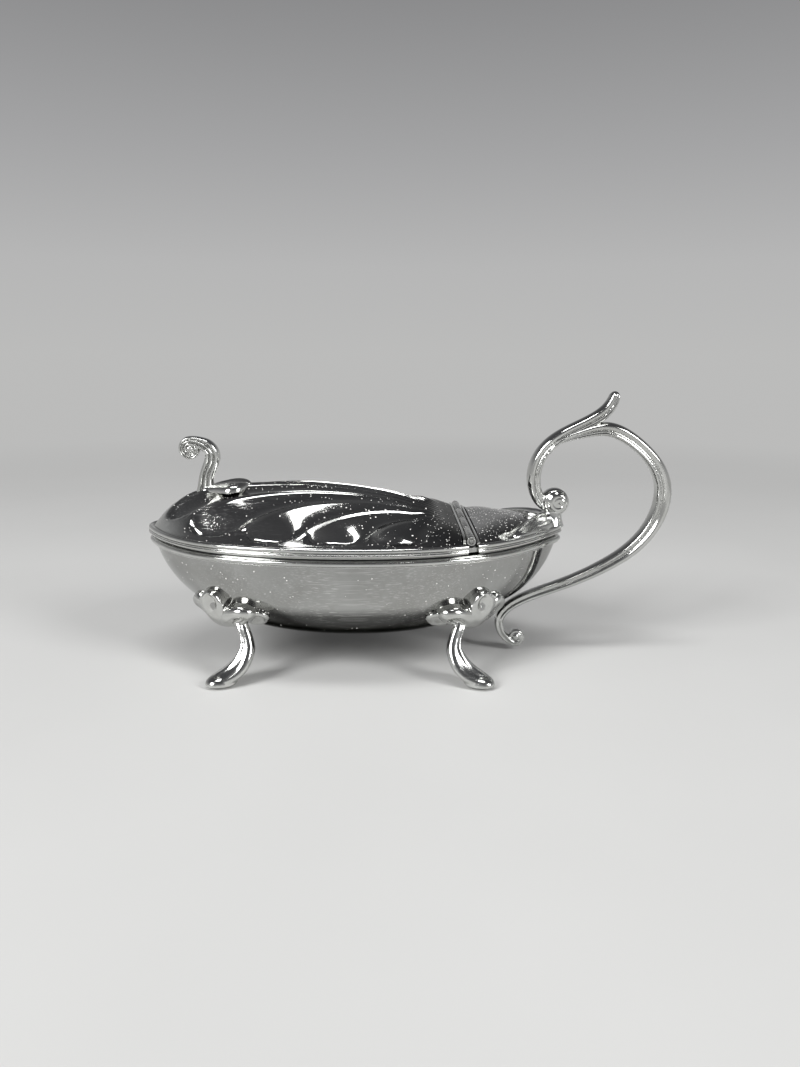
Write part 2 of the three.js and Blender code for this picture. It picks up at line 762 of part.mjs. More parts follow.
function foot(sx, sy) {
  const side = bowlOuterY(footCentreX + sx * footX, shellHeight);
  const legX = footCentreX + legShift + sx * footX;
  const at = (out, away, z) => new THREE.Vector3(legX + sx * out, sy * (side + away), z);
  const centres = legLine.map((line) => at(...line.slice(0, 3).map((share) => share * shellHeight)));
  const curve = new THREE.CatmullRomCurve3(centres);
  const spans = legLine.length - 1;
  const steps = 12;
  const splay = new THREE.Vector3(sx * Math.cos(footSplay * degree), sy * Math.sin(footSplay * degree), 0);
  const rings = Array.from({ length: steps + 1 }, (_, i) => {
    const t = i / steps;
    const tangent = curve.getTangent(t);
    const across = new THREE.Vector3().crossVectors(tangent, splay).setZ(0).normalize();
    const front = new THREE.Vector3().crossVectors(across, tangent).normalize();
    const place = Math.min(Math.floor(t * spans), spans - 1);
    const share = t * spans - place;
    const wide = (legWidth / 2) * THREE.MathUtils.lerp(legLine[place][3], legLine[place + 1][3], share);
    const deep = (legDepth / 2) * THREE.MathUtils.lerp(legLine[place][4], legLine[place + 1][4], share);
    return Array.from({ length: 8 }, (_, k) => {
      const a = (Math.PI * k) / 4;
      const p = curve.getPoint(t).addScaledVector(across, wide * Math.cos(a));
      return p.addScaledVector(front, deep * Math.sin(a));
    });
  });
  const sole = new THREE.SphereGeometry(1, 14, 8).rotateX(Math.PI / 2);
  sole.scale(padLength / 2, padWidth / 2, padRise * 0.65).rotateZ(sx * sy * footSplay * degree);
  const rest = at(padOut, padAway, padRise * 0.35);
  let whole = toManifold(loft(rings)).add(toManifold(sole.translate(rest.x, rest.y, rest.z)));
  for (const shape of petals) whole = whole.add(petal(sx, sy, shape));
  const slabUnder = new THREE.BoxGeometry(2 * bowlLength, 2 * bowlLength, bowlWidth);
  const table = toManifold(slabUnder.translate(0, 0, -bowlWidth / 2));
  return fromManifold(whole.subtract(bowlEnvelope).subtract(table));
}

// Glass liner: a boat-shaped dish that stands on the bowl's curve and lifts out through the lid's opening
function bowlInnerZ(x, y) {
  const scaled = (halfLength - bowlWall) / halfLength;
  const angle = Math.atan2(y / (halfWidth - bowlWall), x / (halfLength - bowlWall));
  const edge = rimPoint(angle).multiplyScalar(scaled);
  const share = Math.hypot(x, y) / edge.length();
  let low = 0;
  let high = 1;
  for (let i = 0; i < 40; i++) {
    const middle = (low + high) / 2;
    if (profile(middle).size < share) low = middle;
    else high = middle;
  }
  const bottom = bowlBottom + bowlWall;
  return bottom + (rimHeight - bottom) * profile(low).rise;
}

function liner() {
  const a = (linerRearX - linerFrontX) / 2;
  const b = halfWidth - linerSideGap;
  const count = 36;
  const oval = (size, shrink, z) => Array.from({ length: count }, (_, i) => {
    const angle = (2 * Math.PI * i) / count;
    const x = linerCentreX + (a * size - shrink) * Math.cos(angle);
    return new THREE.Vector3(x, (b * size - shrink) * Math.sin(angle), z);
  });
  const base = oval(linerBase, 0, 0);
  const foot = Math.max(...base.map((p) => bowlInnerZ(p.x, p.y))) + linerSeat;
  const top = rimHeight - linerRimBelow;
  const rows = [0, 0.12, 0.35, 0.65, 1];
  const size = (row) => linerBase + (1 - linerBase) * Math.sin((row * Math.PI) / 2) ** 0.75;
  const outside = rows.map((row) => oval(size(row), 0, foot + (top - foot) * row));
  const floor = foot + linerGlass;
  const inside = rows.map((row) => oval(size(row), linerGlass, floor + (top - floor) * row));
  return loft([...outside, ...inside.reverse()]);
}

// Materials
const sheetSilver = new THREE.MeshStandardMaterial({ color: 0xc9ccc8, roughness: 0.12, metalness: 1 });
const castSilver = new THREE.MeshStandardMaterial({ color: 0xc4c6c2, roughness: 0.18, metalness: 1 });
const hingeSilver = new THREE.MeshStandardMaterial({ color: 0x9c9d98, roughness: 0.3, metalness: 1 });
const glass = new THREE.MeshStandardMaterial({ color: 0xe6eeea, roughness: 0.08, metalness: 0 });
glass.transparent = true;
glass.opacity = 0.35;

// Assembly
const server = new THREE.Group();

function put(name, geometry, material, parent = server) {
  geometry.computeVertexNormals();
  const mesh = new THREE.Mesh(geometry, material);
  mesh.name = name;
  parent.add(mesh);
}

put('bowl', bowl(), sheetSilver);
put('bowl_rim_wire', rimWire(), sheetSilver);
put('rear_deck', deck(), sheetSilver);
const deckAngle = rimAngle(deckRailX);
put('deck_moulding', moulding(-deckAngle, deckAngle, 26), sheetSilver);
put('deck_hinge_rail', rail(deckRailX, deckRailAbovePin), hingeSilver);
put('hinge_pin', hingePin(), hingeSilver);
put('handle_upper_scroll', fromManifold(upperScroll()), castSilver);
put('handle_loop', handleLoop(), castSilver);
put('handle_root_leaf', rootLeaf(), castSilver);
for (const [end, sx] of [['front', -1], ['rear', 1]]) {
  for (const [side, sy] of [['near', -1], ['far', 1]]) {
    put(`foot_${end}_${side}`, foot(sx, sy), castSilver);
  }
}
put('glass_liner', liner(), glass);

put('lid_shell', lidShell(), sheetSilver);
const lidAngle = rimAngle(lidRailX);
put('lid_moulding', moulding(lidAngle, 2 * Math.PI - lidAngle, 44), sheetSilver);
put('lid_hinge_rail', rail(lidRailX, lidRailAbovePin), hingeSilver);
for (let i = 0; i < knuckleCount; i++) {
  const owner = i % 2 ? 'deck' : 'lid';
  put(`hinge_knuckle_${owner}_${i + 1}`, knuckle(i), hingeSilver);
}
put('finial_leaf', finialLeaf(), castSilver);
put('finial_scroll', finialScroll(), castSilver);

// The origin goes to the middle of the whole length, under the object
const box = new THREE.Box3().setFromObject(server);
server.position.x = -(box.min.x + box.max.x) / 2;

export default server;
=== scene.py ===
import math
from functools import partial

import bmesh
import bpy
import numpy as np
from mathutils import Matrix, Vector


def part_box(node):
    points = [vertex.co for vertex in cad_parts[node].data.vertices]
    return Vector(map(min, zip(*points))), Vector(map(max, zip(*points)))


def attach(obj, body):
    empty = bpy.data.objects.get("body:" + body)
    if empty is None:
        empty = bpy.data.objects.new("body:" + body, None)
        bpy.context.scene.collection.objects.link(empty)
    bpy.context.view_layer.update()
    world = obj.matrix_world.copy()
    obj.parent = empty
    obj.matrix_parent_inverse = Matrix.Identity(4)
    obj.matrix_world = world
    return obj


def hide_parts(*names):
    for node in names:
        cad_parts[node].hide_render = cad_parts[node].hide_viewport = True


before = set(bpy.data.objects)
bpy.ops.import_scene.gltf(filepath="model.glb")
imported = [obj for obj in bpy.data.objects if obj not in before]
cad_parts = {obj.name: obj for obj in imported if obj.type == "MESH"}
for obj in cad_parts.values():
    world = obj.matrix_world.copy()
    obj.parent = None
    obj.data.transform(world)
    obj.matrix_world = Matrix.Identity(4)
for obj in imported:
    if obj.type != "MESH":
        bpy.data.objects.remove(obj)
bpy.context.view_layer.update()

# Camera
# The photographer stood close in front of the long side and looked a little down on the lid.
mm = 0.001
degree = math.radians(1)
full_turn = 2 * math.pi
camera_place = Vector((-8.617, -297.859, 113.532)) * mm
yaw = 0.8485 * degree
pitch = 12.650 * degree
roll = 0.260 * degree
film_width = 36
focal_share = 801 / 1067


def add_object(name, data):
    made = bpy.data.objects.new(name, data)
    bpy.context.collection.objects.link(made)
    return made


forward = Vector((math.sin(yaw) * math.cos(pitch), math.cos(yaw) * math.cos(pitch), -math.sin(pitch)))
level = Vector((math.cos(yaw), -math.sin(yaw), 0))
up = level.cross(forward)
right = level * math.cos(roll) + up * math.sin(roll)
top = up * math.cos(roll) - level * math.sin(roll)
camera = add_object("camera", bpy.data.cameras.new("camera"))
camera.matrix_world = Matrix.Translation(camera_place) @ Matrix((right, top, -forward)).transposed().to_4x4()
camera.data.sensor_width = film_width
camera.data.lens = film_width * focal_share
camera.data.clip_start = 0.01
bpy.context.scene.camera = camera

# Studio
# A pale table under soft boxes in a room that is pale at eye level and darker overhead,
# so that polished metal shows both light and dark.
bpy.context.scene.view_settings.view_transform = "Standard"


def bare_tree(owner):
    owner.use_nodes = True
    owner.node_tree.nodes.clear()
    return owner.node_tree


def node(tree, kind, inputs=None, out=0, **settings):
    """Adds a node and gives its output of a number, name or slice; inputs are values or sockets."""
    made = tree.nodes.new(kind)
    for name, value in settings.items():
        setattr(made, name, value)
    for key, value in (inputs or {}).items():
        if isinstance(value, bpy.types.NodeSocket):
            tree.links.new(value, made.inputs[key])
        else:
            made.inputs[key].default_value = value
    return made.outputs[out] if made.outputs else made


def ramp(tree, value, stops):
    """A colour ramp through (place, grey or colour) stops."""
    made = tree.nodes.new("ShaderNodeValToRGB")
    tree.links.new(value, made.inputs[0])
    band = made.color_ramp
    while len(band.elements) < len(stops):
        band.elements.new(0.5)
    for element, (place, shade) in zip(band.elements, stops):
        element.position = place
        element.color = (*shade, 1) if isinstance(shade, tuple) else (shade, shade, shade, 1)
    return made.outputs[0]


def split(tree, value, kind="ShaderNodeSeparateXYZ"):
    return node(tree, kind, {0: value}, slice(3))


room = bpy.data.worlds.new("room")
bpy.context.scene.world = room
tree = bare_tree(room)
height_seen = split(tree, node(tree, "ShaderNodeTexCoord", out="Generated"))[2]
room_shade = ramp(tree, height_seen, [
    (0.0, (0.50, 0.50, 0.495)), (0.10, (0.47, 0.47, 0.47)), (0.22, (0.37, 0.37, 0.375)),
    (0.36, (0.26, 0.26, 0.265)), (0.56, (0.12, 0.12, 0.125)), (0.9, (0.07, 0.07, 0.075))])
room_light = node(tree, "ShaderNodeBackground", {"Color": room_shade, "Strength": 1.0})
node(tree, "ShaderNodeOutputWorld", {"Surface": room_light})


def soft_box(name, place, aim_height, width, height, watts):
    lamp = bpy.data.lights.new(name, "AREA")
    lamp.shape = "RECTANGLE"
    lamp.size = width
    lamp.size_y = height
    lamp.energy = watts
    holder = add_object(name, lamp)
    holder.location = place
    holder.rotation_euler = (Vector((0, 0, aim_height)) - Vector(place)).to_track_quat("-Z", "Y").to_euler()


soft_box("overhead_box", (-0.06, -0.24, 1.24), aim_height=0.05, width=0.68, height=0.22, watts=5.4)
soft_box("left_key", (-1.12, -1.04, 1.00), aim_height=0.04, width=0.68, height=0.80, watts=26)
soft_box("right_key", (1.24, -0.92, 0.88), aim_height=0.05, width=0.52, height=0.80, watts=17)

# a pale matt table top that fades into the room's own shade far away
pale_table = bpy.data.materials.new("pale_table")
tree = bare_tree(pale_table)
place = node(tree, "ShaderNodeTexCoord", out="Object")
cloud = node(tree, "ShaderNodeTexNoise", {"Vector": place, "Scale": 6.0, "Detail": 3.0})
shade = ramp(tree, cloud, [(0.3, (0.60, 0.60, 0.59)), (0.7, (0.63, 0.63, 0.62))])
near = node(tree, "ShaderNodeBsdfPrincipled", {"Base Color": shade, "Roughness": 0.55,
                                               "Specular IOR Level": 0.15})
far = node(tree, "ShaderNodeEmission", {"Color": (0.50, 0.50, 0.495, 1)})
away = node(tree, "ShaderNodeVectorMath", {0: place}, out="Value", operation="LENGTH")
fade = node(tree, "ShaderNodeMapRange", {"Value": away, "From Min": 0.18, "From Max": 0.9},
            interpolation_type="SMOOTHSTEP")
both = node(tree, "ShaderNodeMixShader", {0: fade, 1: near, 2: far})
node(tree, "ShaderNodeOutputMaterial", {"Surface": both})

table_radius = 8.0
table_below_feet = 0.00005
table = add_object("table", bpy.data.meshes.new("table"))
table_top = bmesh.new()
bmesh.ops.create_circle(table_top, cap_ends=True, radius=table_radius, segments=96)
bmesh.ops.translate(table_top, verts=table_top.verts, vec=(0, 0, -table_below_feet))
table_top.to_mesh(table.data)
table.data.materials.append(pale_table)

# Bowl
# The dish is raised from one sheet and plated inside and out: an oval boat that is drawn in to
# a blunt point at both ends, its side rounding into a soft bottom.
bowl_low, bowl_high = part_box("bowl")
middle_x = (bowl_low.x + bowl_high.x) / 2
half_length = (bowl_high.x - bowl_low.x) / 2 / mm
half_width = (bowl_high.y - bowl_low.y) / 2 / mm
rim_height = bowl_high.z / mm
bowl_bottom = 10.5
bowl_wall = 1.2


def outline(angle, out=0.0):
    """The bowl's rim seen from above at an angle from +X, moved out by a distance."""
    def at(a):
        c, s = np.cos(a), np.sin(a)
        drawn_in = np.where(c < 0, 0.5 * np.abs(c) ** 8, 0.66 * np.abs(c) ** 5)
        return half_length * c, half_width * np.sign(s) * np.abs(s) ** 0.93 * (1 - drawn_in)
    angle = np.asarray(angle, float)
    (x, y), (x0, y0), (x1, y1) = at(angle), at(angle - 1e-3), at(angle + 1e-3)
    length = np.hypot(x1 - x0, y1 - y0)
    return x + out * (y1 - y0) / length, y - out * (x1 - x0) / length


# the outline's +Y side as a table, for finding its width at an x
rim_turn = np.linspace(1e-4, math.pi - 1e-4, 4000)


def angle_at(x, out=0.0):
    return np.interp(-np.asarray(x, float), -outline(rim_turn, out)[0], rim_turn)


def half_width_at(x, out=0.0):
    rim_x, rim_y = outline(rim_turn, out)
    return np.interp(-np.asarray(x, float), -rim_x, rim_y, left=0, right=0)


def bowl_profile(s):
    """From the bottom, 0, to the rim, 1: share of the outline's size, and share of the height."""
    r = 1 - s
    return 1.98 * r * r * s + 2.79 * r * s * s + s ** 3, 1.02 * r * s * s + s ** 3


def bowl_size_at(z):
    size, rise = bowl_profile(np.linspace(0, 1, 2001))
    return np.interp((np.asarray(z, float) - bowl_bottom) / (rim_height - bowl_bottom), rise, size)


def bowl_side(x, z):
    """Half the bowl's outer width at a place along it and a height."""
    size = bowl_size_at(z)
    return half_width_at(x / size) * size


def grid_faces(rows, columns, start=0, looped=False, capped=False):
    """Faces of a grid of points; its rows can run round, and its first and last row can be closed."""
    i, j = np.meshgrid(np.arange(rows - 1), np.arange(columns if looped else columns - 1), indexing="ij")
    k = (j + 1) % columns
    a = start + i * columns
    faces = np.stack([a + j, a + k, a + columns + k, a + columns + j], -1).reshape(-1, 4).tolist()
    if capped:
        faces += [list(range(columns)), list(range((rows - 1) * columns, rows * columns))]
    return faces


def face_out(piece, crease):
    """Merges seams and poles, turns the faces outwards and shades them smooth up to a crease."""
    work = bmesh.new()
    work.from_mesh(piece.data)
    bmesh.ops.remove_doubles(work, verts=work.verts, dist=0.002 * mm)
    bmesh.ops.dissolve_degenerate(work, edges=work.edges, dist=0.0005 * mm)
    bmesh.ops.recalc_face_normals(work, faces=work.faces)
    work.to_mesh(piece.data)
    work.free()
    piece.data.shade_smooth()
    piece.data.set_sharp_from_angle(angle=crease * degree)


def bare_piece(name, points, edges=(), faces=(), marks=None):
    """A piece from points in millimetres, with numbers marked on them for a tree to read."""
    places = np.asarray(points, float).reshape(-1, 3) * mm
    places[:, 0] += middle_x
    piece = add_object(name, bpy.data.meshes.new(name))
    piece.data.from_pydata(places.tolist(), edges, faces)
    for label, values in (marks or {}).items():
        mark_data = piece.data.attributes.new(label, "FLOAT", "POINT").data
        mark_data.foreach_set("value", np.asarray(values, float))
    return piece


def make_piece(name, points, faces, material, crease=50):
    piece = bare_piece(name, points, faces=faces)
    face_out(piece, crease)
    piece.data.materials.append(material)
    return piece


def calc(tree, operation, *values, **settings):
    return node(tree, "ShaderNodeMath", dict(enumerate(values)), operation=operation, **settings)


def silver(name, shade, dull, scratch, wave, seed, crevice=0, dust=0, stuck=0, painted_dark_reflection=None, satin=0):
    """Polished plate with old tarnish in its tint, hairlines in three directions and planished waves.
    Crevices hold dark polish, dust lies on what faces up, and a few specks stick to the sides. The hairlines
    and rubs are real wear, painted paler partly as a highlight for the light they scatter. A painted shade
    darkens it along one axis and weakens its glancing sheen, standing in for a dark reflection; it is given
    as (axis, where it starts, where it is full, share).
    The hollow side is left satin and pale by a share, satin: above 0 it faces up, below 0 down."""
    material = bpy.data.materials.new(name)
    tree = bare_tree(material)
    times, plus, most, less, more = (
        partial(calc, tree, kind) for kind in ("MULTIPLY", "ADD", "MAXIMUM", "LESS_THAN", "GREATER_THAN"))
    place = node(tree, "ShaderNodeTexCoord", out="Object")
    here = node(tree, "ShaderNodeMapping", {"Vector": place, "Location": (seed, seed * 0.7, 0)})
    facing_up = split(tree, node(tree, "ShaderNodeTexCoord", out="Normal"))[2]
    hollow_side = times(facing_up, math.copysign(1, satin)) if satin else None

    def noise(scale, detail=2.0, rough=0.5, vector=here, distortion=0.0):
        inputs = {"Vector": vector, "Scale": scale, "Detail": detail, "Roughness": rough}
        return node(tree, "ShaderNodeTexNoise", inputs | {"Distortion": distortion})

    def patches(low, high, *grain, least=0, **how):
        """Where a noise is high: it rises from least at its low value to 1 at its high value."""
        return ramp(tree, noise(*grain, **how), [(low, least), (high, 1)])

    def mixed(amount, first, second):
        first = first if isinstance(first, bpy.types.NodeSocket) else (*first, 1)
        return node(tree, "ShaderNodeMix", {0: amount, 6: first, 7: (*second, 1)}, 2, data_type="RGBA")

    tarnish = patches(0.34, 0.70, 48, 6, 0.66, distortion=0.4)
    cloud = patches(0.38, 0.62, 14, 3)
    hairlines_and_glints = 0.0
    for turn, run, fine in (((0.15, 0.1, 0.2), 15, 3400), ((1.1, 0.4, 1.9), 26, 4400),
                            ((0.5, 1.3, 2.9), 38, 3900)):
        drawn_out = {"Vector": here, "Rotation": turn, "Scale": (run, fine, fine)}
        hairlines_and_glints = most(hairlines_and_glints, patches(0.66, 0.71, 1, 1, vector=node(tree, "ShaderNodeMapping", drawn_out)))
    hairlines_and_glints = times(hairlines_and_glints, patches(0.44, 0.62, 26, least=0.15))
    rubs_and_glints = times(patches(0.60, 0.68, 330, 5, 0.75, distortion=1.2), patches(0.54, 0.66, 31))
    tint = mixed(times(tarnish, 0.75), (shade, shade * 1.01, shade * 0.985),
                 (shade * 0.70, shade * 0.695, shade * 0.66))
    tint = mixed(times(cloud, 0.35), tint, (shade * 0.66, shade * 0.68, shade * 0.67))
    glancing = (1, 1, 1, 1)
    # painted shade: a darker tint and a weaker glancing sheen along one axis, standing in for a dark
    # reflection
    if painted_dark_reflection:
        axis, start, full, share = painted_dark_reflection
        spot = plus(split(tree, place)[axis], times(plus(noise(40, 4, 0.6), -0.5), 0.06 * abs(full - start)))
        painted_dark_share = node(tree, "ShaderNodeMapRange", {"Value": spot, "From Min": start, "From Max": full,
                                                   "To Max": share})
        if satin:
            painted_dark_share = times(painted_dark_share, less(hollow_side, 0.0))
        tint = mixed(painted_dark_share, tint, (shade * 0.24, shade * 0.24, shade * 0.235))
        glancing = mixed(painted_dark_share, (1, 1, 1), (0.12, 0.12, 0.12))
    # the hairlines and rubs are real wear; their pale tint is partly a painted highlight for the light they
    # scatter
    tint = mixed(times(hairlines_and_glints, 0.55 * scratch), tint, (0.90, 0.90, 0.88))
    tint = mixed(times(rubs_and_glints, 0.50 * scratch), tint, (0.88, 0.88, 0.86))
    rough = plus(times(cloud, 0.05), dull - 0.03)
    for wear, share in ((hairlines_and_glints, 0.16 * scratch), (rubs_and_glints, 0.22 * scratch), (tarnish, 0.06)):
        rough = plus(rough, times(wear, share))
    shiny = 1.0
    if crevice:
        open_air = node(tree, "ShaderNodeAmbientOcclusion", {"Distance": 2.0 * mm}, "AO", samples=6,
                        only_local=True)
        grime = times(ramp(tree, open_air, [(0.25, 1), (0.80, 0)]), plus(times(noise(420, 3), 0.7), 0.45),
                      use_clamp=True)
        tint = mixed(times(grime, crevice), tint, (0.07, 0.066, 0.058))
        rough = plus(rough, times(grime, 0.25))
    if dust or stuck:
        near_hinge = node(tree, "ShaderNodeMapRange", {"Value": split(tree, place)[0], "From Min": -0.06,
                                                       "From Max": 0.02, "To Min": 0.35})
        drift = times(patches(0.36, 0.60, 30, 3, least=0.15), near_hinge)
        chance = most(times(more(facing_up, 0.6), times(drift, dust)),
                      times(patches(0.42, 0.62, 24, 3, least=0.1), stuck))
        lying = 0.0
        for scale, size in ((520.0, 0.20), (1150.0, 0.30)):
            away, pick = node(tree, "ShaderNodeTexVoronoi", {"Vector": place, "Scale": scale}, slice(2))
            pick = split(tree, pick, "ShaderNodeSeparateColor")
            speck = times(less(away, times(pick[0], size)), less(pick[1], chance))
            lying = most(lying, speck)
        tint = mixed(lying, tint, (0.92, 0.91, 0.88))
        rough = most(rough, times(lying, 0.8))
        shiny = plus(times(lying, -0.85), 1.0)
    if satin:
        inside = more(hollow_side, 0.03)
        tint = mixed(times(inside, abs(satin)), tint, (0.80, 0.80, 0.78))
        rough = most(rough, times(inside, 0.36))
    relief = None
    for height, strength, deep in ((most(hairlines_and_glints, rubs_and_glints), 0.4 * scratch, -0.004), (noise(70), 1.0, wave * 10),
                                   (noise(900, 3), 0.3, 0.003)):
        inputs = {"Height": height, "Strength": strength, "Distance": deep * mm}
        if relief:
            inputs["Normal"] = relief
        relief = node(tree, "ShaderNodeBump", inputs)
    skin = node(tree, "ShaderNodeBsdfPrincipled", {"Base Color": tint, "Roughness": rough, "Metallic": shiny,
                                                   "Specular Tint": glancing, "Normal": relief})
    node(tree, "ShaderNodeOutputMaterial", {"Surface": skin})
    return material


# painted shade: the bowl's silver is darker than the lid's, and its lower outside is painted darker still, as
# a dark reflection
bowl_silver = silver("bowl_silver", shade=0.43, dull=0.05, scratch=1.0, wave=0.010, seed=0.31, stuck=0.14,
                     painted_dark_reflection=(2, 0.0285, 0.0245, 0.9), satin=0.8)
bowl_turns = np.linspace(0, full_turn, 256, endpoint=False)


def bowl_rings(steps, wall):
    """Rings of the bowl's outer surface, or of the surface a wall's thickness inside it."""
    size, rise = bowl_profile(steps)
    x, y = outline(bowl_turns)
    bottom = bowl_bottom + wall
    ring_x = np.outer(size, x * (1 - wall / half_length))
    ring_y = np.outer(size, y * (1 - wall / half_width))
    ring_z = np.repeat((bottom + (rim_height - bottom) * rise)[:, None], len(x), 1)
    return np.stack([ring_x, ring_y, ring_z], -1)


bowl_steps = np.linspace(0, 1, 72) ** 0.9
bowl_skin = np.concatenate([bowl_rings(bowl_steps, 0), bowl_rings(bowl_steps[::-1], bowl_wall)])
bowl_faces = grid_faces(len(bowl_skin), len(bowl_turns), looped=True)
bowl_sheet = make_piece("bowl_sheet", bowl_skin, bowl_faces, bowl_silver)
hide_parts("bowl")
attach(bowl_sheet, "server")

# Rim wire and reeded mouldings
# A half-round wire is soldered round the bowl just under its rim. The lid and the deck carry
# a drawn moulding of two beads with a fine reed between, soldered to their turned-down edges.


def tree_with_inputs(name, inputs):
    """A geometry tree with its named inputs; gives the tree, the sockets, and a function that ends it."""
    tree = bpy.data.node_groups.new(name, "GeometryNodeTree")
    tree.interface.new_socket("Geometry", in_out="INPUT", socket_type="NodeSocketGeometry")
    tree.interface.new_socket("Geometry", in_out="OUTPUT", socket_type="NodeSocketGeometry")
    for label, value in inputs.items():
        size = tree.interface.new_socket(label, in_out="INPUT", socket_type="NodeSocketFloat")
        size.default_value = value
    tree.interface.new_socket("Metal", in_out="INPUT", socket_type="NodeSocketMaterial")
    given = tree.nodes.new("NodeGroupInput").outputs

    def end(geometry):
        real = node(tree, "GeometryNodeRealizeInstances", {0: geometry})
        metal = node(tree, "GeometryNodeSetMaterial", {"Geometry": real, "Material": given["Metal"]})
        node(tree, "NodeGroupOutput", {0: metal})
    return tree, given, end


def grow(piece, tree, material, sizes=None, crease=50):
    """Runs a tree on a piece once, and keeps what it makes as the piece's plain mesh."""
    maker = piece.modifiers.new("maker", "NODES")
    maker.node_group = tree
    wanted = dict(sizes or {}, Metal=material)
    for socket in tree.interface.items_tree:
        if socket.in_out == "INPUT" and socket.name in wanted:
            maker[socket.identifier] = wanted[socket.name]
    depsgraph = bpy.context.evaluated_depsgraph_get()
    made = bpy.data.meshes.new_from_object(piece.evaluated_get(depsgraph), preserve_all_data_layers=True,
                                           depsgraph=depsgraph)
    piece.modifiers.remove(maker)
    piece.data = made
    face_out(piece, crease)


def moved(tree, shape, x, y=0.0, scale=(1, 1, 1)):
    shift = node(tree, "ShaderNodeCombineXYZ", {"X": x, "Y": y})
    return node(tree, "GeometryNodeTransform", {"Geometry": shape, "Translation": shift, "Scale": scale})


def sweep(tree, path, sections, outwards, **sizes):
    """Draws the joined sections along a path, with closed ends; outwards is their second axis."""
    section = tree.nodes.new("GeometryNodeJoinGeometry")
    for part in sections:
        tree.links.new(part, section.inputs[0])
    course = node(tree, "GeometryNodeMeshToCurve", {0: path})
    course = node(tree, "GeometryNodeSetCurveNormal", {"Curve": course, "Normal": outwards}, mode="FREE")
    drawn = {"Curve": course, "Profile Curve": section.outputs[0], "Fill Caps": True}
    return node(tree, "GeometryNodeCurveToMesh", drawn | sizes)


def bead_inputs(beads, sizes, value):
    return {f"{bead} {size}": value for bead in beads for size in sizes}


moulding_beads = ["Top bead", "Middle reed", "Foot bead"]
bead_sizes = ["radius", "out", "height"]
strip_inputs = {"Strip thickness": 1 * mm, "Strip height": 2 * mm, "Strip out": 0.0, "Strip middle": 0.0}
moulding_tree, given, end = tree_with_inputs(
    "drawn_moulding", bead_inputs(moulding_beads, bead_sizes, 0.5 * mm) | strip_inputs)
sections = []
for bead in moulding_beads:
    ring = node(moulding_tree, "GeometryNodeCurvePrimitiveCircle",
                {"Resolution": 20, "Radius": given[f"{bead} radius"]})
    sections.append(moved(moulding_tree, ring, given[f"{bead} height"], given[f"{bead} out"]))
strip = node(moulding_tree, "GeometryNodeCurvePrimitiveQuadrilateral",
             {"Width": given["Strip height"], "Height": given["Strip thickness"]})
sections.append(moved(moulding_tree, strip, given["Strip middle"], given["Strip out"]))
end(sweep(moulding_tree, given["Geometry"], sections, (0, 0, 1)))


def moulding_sizes(beads, inner, outer, low, high):
    """Sizes for the tree from (radius, out, height) of three beads, and the sides of the strip."""
    sizes = {"Strip thickness": (outer - inner) * mm, "Strip out": (outer + inner) / 2 * mm,
             "Strip height": (high - low) * mm, "Strip middle": (high + low) / 2 * mm}
    for bead, values in zip(moulding_beads, beads):
        sizes |= {f"{bead} {size}": value * mm for size, value in zip(bead_sizes, values)}
    return sizes


def path_piece(name, points, looped=False, **marks):
    count = len(points)
    edges = [(i, (i + 1) % count) for i in range(count if looped else count - 1)]
    return bare_piece(name, points, edges, marks=marks)


def outline_path(name, start, stop, count, looped=False):
    x, y = outline(np.linspace(start, stop, count, endpoint=not looped))
    return path_piece(name, np.stack([x, y, 0 * x], -1), looped)


wire_silver = silver("wire_silver", shade=0.66, dull=0.10, scratch=0.7, wave=0.004, seed=1.7, crevice=0.75)
wire_set = moulding_sizes(
    [(0.95, 0.55, rim_height - 1.15), (0.30, 0.50, rim_height - 2.2), (0.26, 0.62, rim_height - 0.28)],
    inner=-0.7, outer=0.5, low=rim_height - 2.3, high=rim_height - 0.1)
rim_wire = outline_path("rim_wire", 0, full_turn, 420, looped=True)
grow(rim_wire, moulding_tree, wire_silver, wire_set)
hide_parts("bowl_rim_wire")
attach(rim_wire, "server")

moulding_bottom = rim_height + 1.1
moulding_top = moulding_bottom + 3.1
edge_top = moulding_top - 0.4
lid_seat = rim_height + 0.3
hinge_x = 40.3
hinge_z = moulding_top + 0.8
moulding_gap = 1.75
moulding_set = moulding_sizes(
    [(0.88, 0.95, moulding_top - 0.88), (0.30, 1.42, moulding_top - 1.86),
     (0.56, 1.30, moulding_bottom + 0.60)],
    inner=-0.4, outer=1.15, low=moulding_bottom + 0.05, high=moulding_top - 0.5)
lid_end = float(angle_at(hinge_x - moulding_gap))
deck_end = float(angle_at(hinge_x + moulding_gap))
for owner, body, start, stop, count in (("lid", "lid", lid_end, full_turn - lid_end, 360),
                                        ("deck", "server", -deck_end, deck_end, 160)):
    reeding = outline_path(f"{owner}_reeding", start, stop, count)
    grow(reeding, moulding_tree, wire_silver, moulding_set)
    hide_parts(f"{owner}_moulding")
    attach(reeding, body)

# Deck
# The short plate behind the hinge is soldered to the bowl's rear end. It is a little crowned,
# and years of dust and polish have settled on it in front of the handle.
rail_offset = 2.35
lid_rail_x = hinge_x - rail_offset
deck_rail_x = hinge_x + rail_offset
sheet_gap = 0.75
deck_front_x = deck_rail_x + sheet_gap
deck_rear_x = half_length - 0.3
deck_length = deck_rear_x - deck_front_x
deck_rise = 4.2
deck_sheet_thick = 1.2
deck_rail_above = 0.9
sheet_edge = -0.3


def smooth_step(low, high, value):
    t = np.clip((value - low) / (high - low), 0, 1)
    return t * t * (3 - 2 * t)


